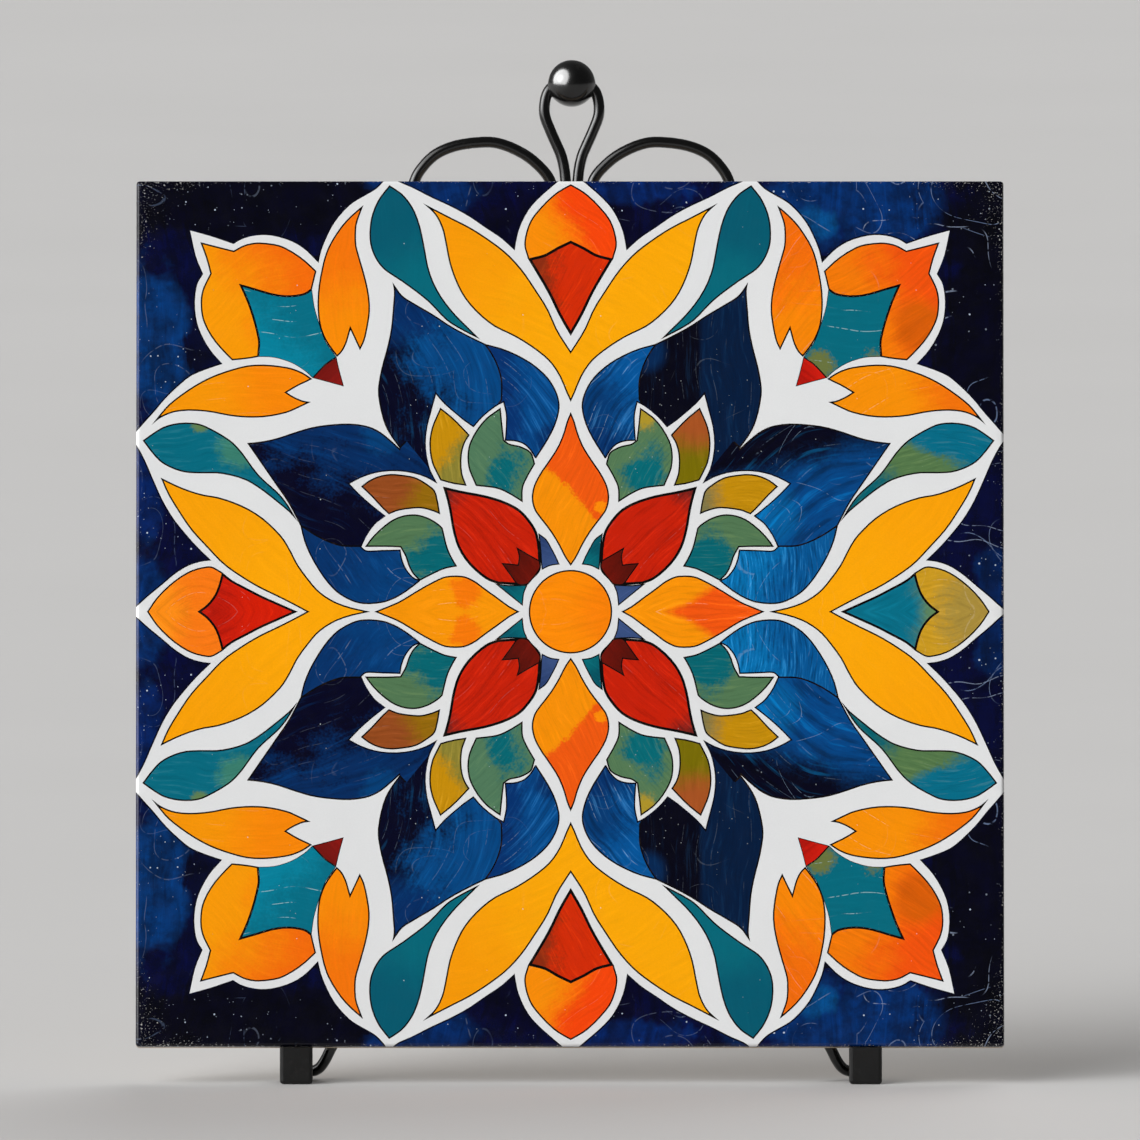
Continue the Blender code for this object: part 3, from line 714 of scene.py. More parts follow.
# Every outline on the tile's face in millimetres, in the order of painting, with what it is painted with
def paintedPolygons():
    half = tile["side"] * 500
    rounding = tile["edgeRound"] * 1000
    width = tile["inkWidth"] * 1000
    polygons = []
    for step in range(tile["roundSteps"], -1, -1):
        reach = rounding * math.sin(math.radians(90 * step / tile["roundSteps"]))
        polygons.append((roundedSquare(half - rounding, reach), "ground", 0, 0))
    for shape, left, right in paintOrder:
        if shape in quarterShapes:
            outline = closedOutline(quarterShapes[shape])
            places = [(1, 1), (-1, 1), (1, -1), (-1, -1)]
        elif shape in topShapes:
            outline = foldedOutline(topShapes[shape], (-1, 1))
            places = [(1, 1), (1, -1)]
        elif shape in sideShapes:
            outline = foldedOutline(sideShapes[shape], (1, -1))
            places = [(1, 1), (-1, 1)]
        else:
            angles = [math.radians(degrees) for degrees in range(0, 360, 5)]
            reach = hub["radius"] * mmAcross
            outline = [Vector((math.cos(angle), math.sin(angle))) * reach for angle in angles]
            places = [(1, 1)]
        if shape == "strap":
            rings = [(inside(outline, -tile["strapShade"] * 1000), "shade"), (outline, None)]
        elif shape == "sepalBed":
            rings = [(outline, "shade"), (inside(outline, tile["strapShade"] * 1000), None)]
        elif shape == "blueJoin":
            rings = [(outline, None)]
        else:
            rings = [(outline, "ink"), (inside(outline, width * inkShare.get(shape, 1.0)), None)]
        onUpright = shape in topShapes or shape == "hub"
        for points, finish in rings:
            for across, up in places:
                copy = [asDrawn(point.x * across, point.y * up) + axisShift for point in points]
                name = finish or (left if across > 0 else right)
                polygons.append((turnedLeft(copy), name, 0.0 if onUpright else 1.0, 1))
    return polygons


# How far the rounded edge has fallen back at a point of the face, and the nearest point of the flat
def depthAt(point):
    core = (tile["side"] / 2 - tile["edgeRound"]) * 1000
    flat = Vector((min(max(point.x, -core), core), min(max(point.y, -core), core)))
    rounding = tile["edgeRound"] * 1000
    reach = min((point - flat).length, rounding)
    return rounding - math.sqrt(max(rounding**2 - reach**2, 0.0)), flat


# One closed mesh: the painted face, the rounded edges and the grooved back
def makeTileMesh():
    polygons = paintedPolygons()
    points = []
    faces = []
    for outline, *_ in polygons:
        faces.append(list(range(len(points), len(points) + len(outline))))
        points += outline
    flat = delaunay_2d_cdt(points, [], faces, 1, tile["merging"])
    corners, triangles, owners = flat[0], flat[2], flat[5]
    print(f"rosette: {len(polygons)} outlines, {len(triangles)} triangles")

    verts = []
    shell = []
    paints = []
    places = {}

    # The index of a corner, in millimetres on the tile
    def placed(x, up, behind):
        key = (round(x, 4), round(up, 4), round(behind, 4))
        if key not in places:
            places[key] = len(verts)
            verts.append(onLean(x / 1000, tile["side"] / 2 + up / 1000, behind / 1000))
        return places[key]

    def addFace(indices, finish, folded):
        kept = [index for n, index in enumerate(indices) if index != indices[n - 1]]
        if len(set(kept)) > 2:
            shell.append(kept)
            paints.append((finish, folded))

    edges = {}
    indices = {}
    for triangle, owner in zip(triangles, owners):
        centre = sum((corners[corner] for corner in triangle), Vector((0.0, 0.0))) / 3
        if (centre - depthAt(centre)[1]).length > tile["edgeRound"] * 1000:
            continue
        layers = [polygons[number][1:3] for number in sorted(owner, reverse=True)]
        onWhite = layers[0][0] == "shade" and layers[1][0] == "white"  # white runs into white without a line
        name, folded = layers[1] if onWhite else layers[0]
        for corner in triangle:
            point = corners[corner]
            indices[corner] = placed(point.x, point.y, depthAt(point)[0])
        addFace([indices[corner] for corner in triangle], name, folded)
        for a, b in zip(triangle, [*triangle[1:], triangle[0]]):
            edges[(a, b)] = True
    rim = {a: b for a, b in edges if (b, a) not in edges}  # the rim, one corner to the next
    walk = [next(iter(rim))]
    while rim[walk[-1]] != walk[0]:
        walk.append(rim[walk[-1]])

    # Down the side and round the back edge
    thick = tile["thick"] * 1000
    rounding = tile["edgeRound"] * 1000
    levels = []
    for step in range(tile["roundSteps"], -1, -1):
        share = math.sin(math.radians(90 * step / tile["roundSteps"]))
        behind = thick - rounding * (1 - math.sqrt(1 - share**2))
        level = []
        for corner in walk:
            base = depthAt(corners[corner])[1]
            point = base + (corners[corner] - base) * share
            level.append((point, placed(point.x, point.y, behind)))
        levels.append(level)
    above = [indices[corner] for corner in walk]
    for level in levels:
        below = [index for _, index in level]
        for n in range(len(walk)):
            m = (n + 1) % len(walk)
            addFace([above[m], above[n], below[n], below[m]], "body", 0)
        above = below

    # The back, with its grooves
    inner = (tile["side"] / 2 - tile["grooveMargin"]) * 1000
    pitch = tile["groovePitch"] * 1000
    wide = tile["grooveWidth"] * 1000
    deep = thick - tile["grooveDepth"] * 1000
    count = math.floor((2 * inner - wide) / pitch) + 1
    rimPoints = []
    for n, (point, index) in enumerate(levels[-1]):
        if index != levels[-1][n - 1][1]:
            rimPoints.append(point)
    outlines = [rimPoints]
    for n in range(count):
        middle = (n - (count - 1) / 2) * pitch
        low, high = middle - wide / 2, middle + wide / 2
        box = ((low, -inner), (high, -inner), (high, inner), (low, inner))
        outlines.append([Vector(corner) for corner in box])
    points = [point for outline in outlines for point in outline]
    faces = []
    start = 0
    for outline in outlines:
        faces.append(list(range(start, start + len(outline))))
        start += len(outline)
    flat = delaunay_2d_cdt(points, [], faces, 1, tile["merging"])
    for triangle, owner in zip(flat[2], flat[5]):
        behind = deep if max(owner) else thick
        addFace([placed(flat[0][n].x, flat[0][n].y, behind) for n in reversed(triangle)], "body", 0)
    for outline in outlines[1:]:
        for a, b in zip(outline, outline[1:] + outline[:1]):
            ring = ((a, thick), (b, thick), (b, deep), (a, deep))
            addFace([placed(point.x, point.y, behind) for point, behind in ring], "body", 0)
    return verts, shell, paints


# A fade as the two vectors that the glaze reads
def fadeOf(fade):
    if not fade:
        return (0.0, 0.0, 0.0), (0.0, 0.0, 0.0)
    start = fromAxis(*fade[:2])
    if len(fade) == 3:
        return (start.x, start.y, 1 / (fade[2] * mmAcross)), (0.0, 0.0, 0.0)
    along = fromAxis(*fade[2:4]) - start
    along /= along.length_squared
    return (start.x, start.y, 0.0), (along.x, along.y, 0.0)


def cellValues(name, folded):
    recipe = recipes[name]
    start, along = fadeOf(recipe["fade"])
    poolStart = fadeOf(recipe.get("at"))[0]
    middle = fromAxis(*recipe["arc"])
    return {
        "paintFirst": linear(*recipe["ink"]),
        "paintSecond": linear(*recipe["to"]),
        "paintThird": linear(*recipe.get("pool", recipe["to"])),
        "strokePaint": linear(*recipe["tint"]),
        "fadeStart": start,
        "fadeAlong": along,
        "poolStart": poolStart,
        "strokeArc": (middle.x, middle.y, (middle - Vector(start[:2])).length),
        "feel": recipe["feel"],
        "touch": recipe["touch"],
        "folded": folded,
    }


def makeTile(finishes):
    verts, faces, paints = makeTileMesh()
    mesh = bpy.data.meshes.new("glazed_tile")
    mesh.from_pydata(verts, [], faces)
    names = list(finishes)
    for name in names:
        mesh.materials.append(finishes[name])
    values = {name: [] for name in cellValues("hub", 0)}
    blank = dict.fromkeys(values, (0.0, 0.0, 0.0))
    blank["folded"] = 1.0
    slots = []
    for name, folded in paints:
        slots.append(names.index(name if name in finishes else "painted"))
        cell = cellValues(name, folded) if name in recipes else blank
        for key, value in cell.items():
            values[key].append(value)
    mesh.polygons.foreach_set("material_index", slots)
    for key, column in values.items():
        single = key == "folded"
        layer = mesh.attributes.new(key, "FLOAT" if single else "FLOAT_VECTOR", "FACE")
        if single:
            layer.data.foreach_set("value", column)
        else:
            layer.data.foreach_set("vector", [part for value in column for part in value])
    shell = bmesh.new()
    shell.from_mesh(mesh)
    bmesh.ops.recalc_face_normals(shell, faces=shell.faces)
    openEdges = sum(1 for edge in shell.edges if len(edge.link_faces) != 2)
    shell.to_mesh(mesh)
    shell.free()
    print(f"tile: {len(mesh.polygons)} faces, {openEdges} edges without two faces")
    mesh.shade_smooth()
    mesh.set_sharp_from_angle(angle=math.radians(35))
    return addObject("glazed_tile", mesh)


# Effects that several glazes share

# Object coordinates as millimetres on the tile: from its middle, and folded into the upper left quarter
def makeTilePlane():
    group, given, result = newGroup(
        "tilePlane",
        [("Object", "Vector", None), ("Folded", "Float", 1.0)],
        [("Tile", "Vector"), ("Rosette", "Vector")],
    )
    lean = tile["lean"]
    toFace = tile["toeY"] * math.cos(lean) - tile["lift"] * math.sin(lean)
    toMiddle = tile["toeY"] * math.sin(lean) + tile["lift"] * math.cos(lean) + tile["side"] / 2
    turned = put(group, "ShaderNodeMapping", {
        "Vector": given["Object"],
        "Location": (0.0, -toFace * 1000, -toMiddle * 1000),
        "Rotation": (lean, 0.0, 0.0),
        "Scale": (1000.0, 1000.0, 1000.0),
    })
    x, behind, up = partsOf(group, turned.outputs[0])
    feed(group, result["Tile"], joined(group, x, up, behind))
    across = calc(group, "SUBTRACT", x, axisShift.x)
    height = calc(group, "ABSOLUTE", calc(group, "SUBTRACT", up, axisShift.y))
    mirrored = times(group, calc(group, "ABSOLUTE", across), -1.0)
    own = times(group, across, calc(group, "SUBTRACT", 1.0, given["Folded"]))
    place = calc(group, "MULTIPLY_ADD", mirrored, given["Folded"], own)
    # The right half gets other strokes than the left
    seed = times(group, calc(group, "SIGN", across), given["Folded"], 31.0)
    feed(group, result["Rosette"], joined(group, place, height, seed))
    return group


# Fine strokes that curve round a middle, as dark and light masks
def makeBrushStrokes():
    group, given, result = newGroup(
        "brushStrokes",
        [
            ("Rosette", "Vector", None), ("Arc", "Vector", None),
            ("Toward", "Vector", None), ("Fineness", "Float", 0.8),
        ],
        [("Dark", "Float"), ("Light", "Float"), ("Lines", "Float")],
    )
    x, y, _ = partsOf(group, vectorCalc(group, "SUBTRACT", given["Rosette"], given["Arc"]))
    flat = joined(group, x, y)
    away = vectorCalc(group, "LENGTH", flat)
    radius = partsOf(group, given["Arc"])[2]
    # Angles count from the way to the cell, so that no stroke breaks there
    x, y, _ = partsOf(group, vectorCalc(group, "SUBTRACT", given["Toward"], given["Arc"]))
    ahead = vectorCalc(group, "DOT_PRODUCT", flat, joined(group, x, y))
    aside = vectorCalc(group, "DOT_PRODUCT", flat, joined(group, times(group, y, -1.0), x))
    length = times(group, calc(group, "ARCTAN2", aside, ahead), radius)
    seed = partsOf(group, given["Rosette"])[2]
    shifted = calc(group, "MULTIPLY_ADD", noiseAt(group, given["Rosette"], 0.05, 1.0), 7.0, away)  # wavering
    across = times(group, shifted, given["Fineness"])
    along = times(group, length, times(group, given["Fineness"], 0.075))  # drawn out along the arc
    fine = noiseAt(group, joined(group, across, along, seed), 1.0, 3.0, 0.66)
    feed(group, result["Dark"], ramped(group, fine, 0.50, 0.34))
    feed(group, result["Light"], ramped(group, fine, 0.53, 0.68))
    # Thin broken lines beside the strokes, nearly 4 mm apart
    spread = calc(group, "SUBTRACT", calc(group, "FRACT", times(group, shifted, 0.26)), 0.5)
    line = ramped(group, calc(group, "ABSOLUTE", spread), 0.030, 0.010)
    lay = joined(group, times(group, away, 0.16), times(group, length, 0.09), seed)
    part = ramped(group, noiseAt(group, lay, 1.0, 1.0), 0.50, 0.58)
    dots = ramped(group, noiseAt(group, given["Rosette"], 1.1, 1.0), 0.36, 0.52)
    feed(group, result["Lines"], times(group, line, times(group, part, dots)))
    return group


# Small pale dots in loose clusters
def makePaleSpecks():
    group, given, result = newGroup(
        "paleSpecks",
        [
            ("Plane", "Vector", None), ("Amount", "Float", 0.3),
            ("Spacing", "Float", 2.2), ("Size", "Float", 1.0),
        ],
        [("Mask", "Float")],
    )
    scale = calc(group, "DIVIDE", 1.0, given["Spacing"])
    dots = put(group, "ShaderNodeTexVoronoi", {"Vector": given["Plane"], "Scale": scale})
    chance = put(group, "ShaderNodeSeparateColor", {0: dots.outputs["Color"]}).outputs
    cluster = ramped(group, noiseAt(group, given["Plane"], 0.07, 2.0), 0.40, 0.66)
    picked = calc(group, "LESS_THAN", chance[0], times(group, cluster, given["Amount"]))
    size = times(group, calc(group, "MULTIPLY_ADD", chance[1], 0.06, 0.035), given["Size"])
    dot = ramped(group, dots.outputs["Distance"], size, times(group, size, 0.5))
    glow = calc(group, "MULTIPLY_ADD", chance[2], 0.6, 0.3)
    feed(group, result["Mask"], times(group, dot, picked, glow))
    return group


# Thin pale strokes in arcs round scattered middles, broken here and there
def makeHairStrokes():
    group, given, result = newGroup(
        "hairStrokes",
        [("Plane", "Vector", None), ("Spacing", "Float", 34.0), ("Width", "Float", 0.15)],
        [("Mask", "Float")],
    )
    rings = 8.0  # to one middle
    warp = put(group, "ShaderNodeTexNoise", {"Vector": given["Plane"], "Scale": 0.045, "Detail": 1.0})
    centred = vectorCalc(group, "SUBTRACT", warp.outputs["Color"], (0.5, 0.5, 0.5))
    bent = vectorCalc(group, "ADD", given["Plane"], scaled(group, centred, 22.0))
    scale = calc(group, "DIVIDE", 1.0, given["Spacing"])
    away = put(group, "ShaderNodeTexVoronoi", {"Vector": bent, "Scale": scale}).outputs["Distance"]
    wide = times(group, ramped(group, away, 0.24, 0.28), ramped(group, away, 0.50, 0.47))  # no small rings
    offset = calc(group, "SUBTRACT", calc(group, "FRACT", times(group, away, rings)), 0.5)
    apart = times(group, calc(group, "ABSOLUTE", offset), given["Spacing"], 1 / rings)
    line = ramped(group, apart, given["Width"], times(group, given["Width"], 0.25))
    broken = ramped(group, noiseAt(group, given["Plane"], 0.09, 2.0), 0.47, 0.56)
    dotted = ramped(group, noiseAt(group, given["Plane"], 0.9, 1.0), 0.34, 0.50)
    feed(group, result["Mask"], times(group, line, wide, times(group, broken, dotted)))
    return group


wearAndHighlight = {
    "reach": 1.6,  # how far chips go in from an edge, in millimetres
    "cornerReach": 6.5,  # how many times farther they go at a corner
    "sparedEdge": -100.6,  # hardly any chips to the left of this
    "highlightEdge": 101.0,  # a painted highlight along the edge to the right of this
    "chipped": (214, 212, 206),
    # the grey of the painted highlight along the right edge
    "paleTone": (150, 148, 146),
}


# Small chips of the glaze along the tile's edges, more at its corners, and a painted highlight along the rim,
# strong on the right edge
def makeEdgeWearAndHighlight():
    group, given, result = newGroup(
        "edgeWearAndHighlight",
        [("Tile", "Vector", None), ("Half", "Float", tile["side"] * 500), ("Reach", "Float", wearAndHighlight["reach"])],
        [("Chips", "Float"), ("RimHighlight", "Float")],
    )
    x, y, _ = partsOf(group, vectorCalc(group, "ABSOLUTE", given["Tile"]))
    fromSide = calc(group, "SUBTRACT", given["Half"], x)
    fromTop = calc(group, "SUBTRACT", given["Half"], y)
    across = partsOf(group, given["Tile"])[0]
    near = calc(group, "MINIMUM", fromSide, times(group, fromTop, 2.2))  # fewer along the top and bottom
    corner = calc(group, "MAXIMUM", fromSide, fromTop)
    reach = times(group, given["Reach"], ramped(group, corner, 24.0, 4.0, 1.0, wearAndHighlight["cornerReach"]))
    # A chip is where the noise passes a limit that grows inwards
    limit = calc(group, "MULTIPLY_ADD", calc(group, "DIVIDE", near, reach), 0.11, 0.595)
    rough = noiseAt(group, given["Tile"], 2.1, 3.0, 0.75)
    kept = calc(group, "MULTIPLY_ADD", calc(group, "LESS_THAN", across, wearAndHighlight["sparedEdge"]), -0.85, 1.0)
    chips = ramped(group, calc(group, "SUBTRACT", rough, limit), 0.0, 0.03)
    feed(group, result["Chips"], times(group, chips, kept))
    # Painted highlight: a pale line along the rim, strong past the right edge and faint elsewhere
    rim = ramped(group, calc(group, "MINIMUM", fromSide, fromTop), 0.26, 0.10)
    onRight = calc(group, "MULTIPLY_ADD", calc(group, "GREATER_THAN", across, wearAndHighlight["highlightEdge"]), 0.9, 0.03)
    feed(group, result["RimHighlight"], times(group, rim, onRight))
    return group


# The grain of a surface: a factor for its colour, a change of its gloss, and a height
def makeFineGrain():
    group, given, result = newGroup(
        "fineGrain",
        [("Plane", "Vector", None), ("Scale", "Float", 2.0), ("Depth", "Float", 0.06)],
        [("Shade", "Float"), ("Gloss", "Float"), ("Height", "Float")],
    )
    fine = noiseAt(group, given["Plane"], given["Scale"], 3.0, 0.65)
    slow = noiseAt(group, given["Plane"], times(group, given["Scale"], 0.12), 2.0)
    centred = calc(group, "SUBTRACT", fine, 0.5)
    feed(group, result["Shade"], calc(group, "MULTIPLY_ADD", centred, given["Depth"], 1.0))
    feed(group, result["Gloss"], times(group, calc(group, "SUBTRACT", slow, 0.5), 0.25))
    feed(group, result["Height"], calc(group, "MULTIPLY_ADD", fine, 0.3, slow))
    return group


# How far one paint has given way to the next, along a line or towards a spot, with a brushed border
def makePaintFade():
    group, given, result = newGroup(
        "paintFade",
        [
            ("Rosette", "Vector", None), ("Start", "Vector", None),
            ("Along", "Vector", None), ("Uneven", "Float", 0.0),
        ],
        [("Share", "Float")],
    )
    off = vectorCalc(group, "SUBTRACT", given["Rosette"], given["Start"])
    off = vectorCalc(group, "MULTIPLY", off, (1.0, 1.0, 0.0))
    spot = partsOf(group, given["Start"])[2]
    line = vectorCalc(group, "DOT_PRODUCT", off, given["Along"])
    ring = calc(group, "SUBTRACT", 1.0, times(group, vectorCalc(group, "LENGTH", off), spot))
    isSpot = calc(group, "GREATER_THAN", spot, 0.0)
    isLine = calc(group, "SUBTRACT", 1.0, isSpot)
    share = calc(group, "ADD", times(group, line, isLine), times(group, ring, 1.8, isSpot))
    feed(group, result["Share"], ramped(group, calc(group, "ADD", share, given["Uneven"]), 0.0, 1.0))
    return group


tilePlane = makeTilePlane()
brushStrokes = makeBrushStrokes()
paleSpecks = makePaleSpecks()
hairStrokes = makeHairStrokes()
edgeWearAndHighlight = makeEdgeWearAndHighlight()
fineGrain = makeFineGrain()
paintFade = makePaintFade()


def roughen(tree, shader, height, strength):
    bump = put(tree, "ShaderNodeBump", {"Strength": strength, "Distance": 0.0002, "Height": height})
    feed(tree, shader.inputs["Normal"], bump.outputs[0])


# What every glaze on the tile has: grain, chips at the edges, a painted highlight along the rim, gloss and a
# slight ripple
def finishGlaze(tree, shader, colour, plane, grainScale, grainDepth, roughness=0.18):
    grain = use(tree, fineGrain, Plane=plane["Tile"], Scale=grainScale, Depth=grainDepth)
    chipsAndHighlight = use(tree, edgeWearAndHighlight, Tile=plane["Tile"])
    chips = times(tree, chipsAndHighlight["Chips"], 0.8)
    shaded = scaled(tree, colour, grain["Shade"])
    # Painted highlight along the rim, then the chips over it
    rimHighlighted = mixed(tree, times(tree, chipsAndHighlight["RimHighlight"], 0.55), shaded, paint(*wearAndHighlight["paleTone"]))
    feed(tree, shader.inputs["Base Color"], mixed(tree, chips, rimHighlighted, paint(*wearAndHighlight["chipped"])))
    gloss = calc(tree, "ADD", grain["Gloss"], roughness)
    feed(tree, shader.inputs["Roughness"], calc(tree, "MULTIPLY_ADD", chips, 0.35, gloss, clamp=True))
    roughen(tree, shader, grain["Height"], 0.12)


# Dark less light strokes, which make the border of two paints follow the brush
def ridgesOf(tree, strokes, strength):
    return times(tree, calc(tree, "SUBTRACT", strokes["Dark"], strokes["Light"]), strength)


def makePaintedGlaze():
    material, tree, shader, place = newMaterial("paintedGlaze")
    reads = {}
    for name in cellValues("hub", 0):
        kind = "Fac" if name == "folded" else "Vector"
        reads[name] = put(tree, "ShaderNodeAttribute", attribute_name=name).outputs[kind]
    plane = use(tree, tilePlane, Object=place, Folded=reads["folded"])
    rosette = plane["Rosette"]
    strength, unevenness, speckled = partsOf(tree, reads["feel"])
    fineness, lined, hairy = partsOf(tree, reads["touch"])
    tint = reads["strokePaint"]
    strokes = use(
        tree, brushStrokes,
        Rosette=rosette, Arc=reads["strokeArc"], Toward=reads["fadeStart"], Fineness=fineness,
    )

    # The three paints, with a brushed and patchy border between them
    patch = calc(tree, "SUBTRACT", noiseAt(tree, rosette, 0.13, 4.0, 0.6), 0.5)
    spray = calc(tree, "SUBTRACT", noiseAt(tree, rosette, 1.7, 1.0), 0.5)
    ridges = calc(tree, "ADD", ridgesOf(tree, strokes, 0.12), spray)
    uneven = times(tree, calc(tree, "MULTIPLY_ADD", patch, 3.0, ridges), unevenness)
    fade = use(
        tree, paintFade,
        Rosette=rosette, Start=reads["fadeStart"], Along=reads["fadeAlong"], Uneven=uneven,
    )
    pool = use(
        tree, paintFade,
        Rosette=rosette, Start=reads["poolStart"], Along=(0.0, 0.0, 0.0), Uneven=uneven,
    )
    hasPool = calc(tree, "GREATER_THAN", partsOf(tree, reads["poolStart"])[2], 0.0)
    colour = mixed(tree, fade["Share"], reads["paintFirst"], reads["paintSecond"])
    colour = mixed(tree, times(tree, pool["Share"], hasPool), colour, reads["paintThird"])

    # Strokes, lines and specks over them
    darkened = times(tree, strokes["Dark"], times(tree, strength, 0.8))
    colour = mixed(tree, darkened, colour, scaled(tree, colour, 0.42))
    lightened = mixed(tree, 0.30, scaled(tree, colour, 1.7), tint)
    colour = mixed(tree, times(tree, strokes["Light"], strength), colour, lightened)
    pale = mixed(tree, 0.45, tint, paint(214, 222, 222))
    colour = mixed(tree, times(tree, strokes["Lines"], lined), colour, pale)
    hairs = use(tree, hairStrokes, Plane=rosette, Spacing=22.0, Width=0.12)
    colour = mixed(tree, times(tree, hairs["Mask"], times(tree, hairy, 0.6)), colour, pale)
    specks = use(tree, paleSpecks, Plane=rosette, Amount=speckled, Spacing=1.4, Size=1.4)
    colour = mixed(tree, specks["Mask"], colour, paint(205, 214, 214))
    finishGlaze(tree, shader, colour, plane, 2.2, 0.16)
    return material


# The ground round the rosette: paints at places in the photograph's upper half, with their reach across and
# down, then thin scratches and dots
groundPaint = {
    "base": (4, 14, 48),
    "spots": [
        ((9, 10, 24), 250, 195, 190, 62),
        ((0, 48, 100), 155, 335, 50, 88),
        ((7, 14, 40), 214, 335, 30, 62),
        ((3, 32, 84), 142, 480, 26, 60),
        ((0, 40, 90), 148, 592, 34, 44),
        ((0, 40, 92), 432, 184, 70, 28),
        ((5, 11, 36), 506, 224, 36, 34),
        ((3, 34, 88), 640, 186, 66, 24),
        ((5, 11, 34), 622, 230, 36, 30),
        ((0, 44, 98), 850, 205, 125, 52),
        ((0, 70, 126), 815, 222, 40, 22),
        ((8, 10, 23), 990, 260, 66, 150),
        ((7, 10, 26), 985, 400, 60, 120),
        ((5, 14, 46), 985, 520, 40, 62),
        ((3, 34, 80), 998, 580, 24, 40),
    ],
    # paint, shift of the pattern, spacing and width in millimetres
    "scratches": [
        ((150, 164, 190), (0.0, 0.0, 0.0), 34.0, 0.15),
        ((120, 140, 176), (37.0, 19.0, 5.0), 23.0, 0.12),
    ],
    "scratchLeft": 0.16,  # their strength on the left and on the right
    "scratchRight": 0.55,
    "speckPaint": (190, 204, 222),
    "specks": [(0.85, 1.9, 1.7), (0.5, 1.0, 1.8)],  # amount, spacing and size
}


def makeGroundGlaze():
    material, tree, shader, place = newMaterial("groundGlaze")
    plane = use(tree, tilePlane, Object=place, Folded=0.0)
    rosette = plane["Rosette"]
    patch = calc(tree, "SUBTRACT", noiseAt(tree, rosette, 0.07, 4.0, 0.6), 0.5)
    strokes = use(
        tree, brushStrokes,
        Rosette=rosette, Arc=(-260.0, 60.0, 200.0), Toward=(0.0, 0.0, 0.0), Fineness=0.5,
    )
    uneven = calc(tree, "MULTIPLY_ADD", patch, 2.2, ridgesOf(tree, strokes, 0.1))
    colour = paint(*groundPaint["base"])
    for seen, x, y, wide, high in groundPaint["spots"]:
        spot = fromAxis(x, y)
        off = vectorCalc(tree, "SUBTRACT", rosette, (spot.x, spot.y, 0.0))
        off = vectorCalc(tree, "MULTIPLY", off, (1 / (wide * mmAcross), 1 / (high * mmUp), 0.0))
        near = calc(tree, "SUBTRACT", 1.0, vectorCalc(tree, "LENGTH", off))
        colour = mixed(tree, ramped(tree, calc(tree, "ADD", near, uneven), -0.05, 0.35), colour, paint(*seen))
    depth = ramped(tree, noiseAt(tree, rosette, 0.16, 5.0, 0.65), 0.34, 0.66, 0.55, 1.25)
    colour = scaled(tree, colour, depth)
    colour = mixed(tree, times(tree, strokes["Dark"], 0.5), colour, scaled(tree, colour, 0.45))
    colour = mixed(tree, times(tree, strokes["Light"], 0.35), colour, scaled(tree, colour, 2.0))
    across = partsOf(tree, rosette)[0]
    scratched = ramped(tree, across, 20.0, 60.0, groundPaint["scratchLeft"], groundPaint["scratchRight"])
    for seen, shift, spacing, width in groundPaint["scratches"]:
        plain = vectorCalc(tree, "ADD", rosette, shift)
        lines = use(tree, hairStrokes, Plane=plain, Spacing=spacing, Width=width)
        colour = mixed(tree, times(tree, lines["Mask"], scratched), colour, paint(*seen))
    for amount, spacing, size in groundPaint["specks"]:
        specks = use(tree, paleSpecks, Plane=rosette, Amount=amount, Spacing=spacing, Size=size)
        colour = mixed(tree, specks["Mask"], colour, paint(*groundPaint["speckPaint"]))
    finishGlaze(tree, shader, colour, plane, 2.0, 0.4)
    return material


def makeWhiteGlaze():
    material, tree, shader, place = newMaterial("whiteGlaze")
    plane = use(tree, tilePlane, Object=place, Folded=0.0)
    cloudy = noiseAt(tree, plane["Tile"], 0.05, 3.0)
    colour = mixed(tree, cloudy, paint(225, 226, 226), paint(217, 218, 219))
    finishGlaze(tree, shader, colour, plane, 2.4, 0.08, 0.20)
    return material


def makeInkLine(name, dark, thin):
    material, tree, shader, place = newMaterial(name)
    plane = use(tree, tilePlane, Object=place, Folded=1.0)
    starved = noiseAt(tree, plane["Rosette"], 0.5, 3.0)
    colour = mixed(tree, ramped(tree, starved, 0.50, 0.80), paint(*dark), paint(*thin))
    finishGlaze(tree, shader, colour, plane, 2.0, 0.2, 0.20)
    return material


bisque = {
    "clay": (200, 184, 162),
    "blotches": (182, 163, 139),
    "pits": (120, 98, 78),
    # painted shade on the groove floors
    "grooves": (120, 100, 80),
    "glazeRun": (9, 16, 46),
    "runLeast": 1.0,  # how far the glaze has run over the edge, in millimetres
    "runMore": 3.2,
    "grooveReach": 95.0,  # the painted shade on the grooves' floors ends inside this
}


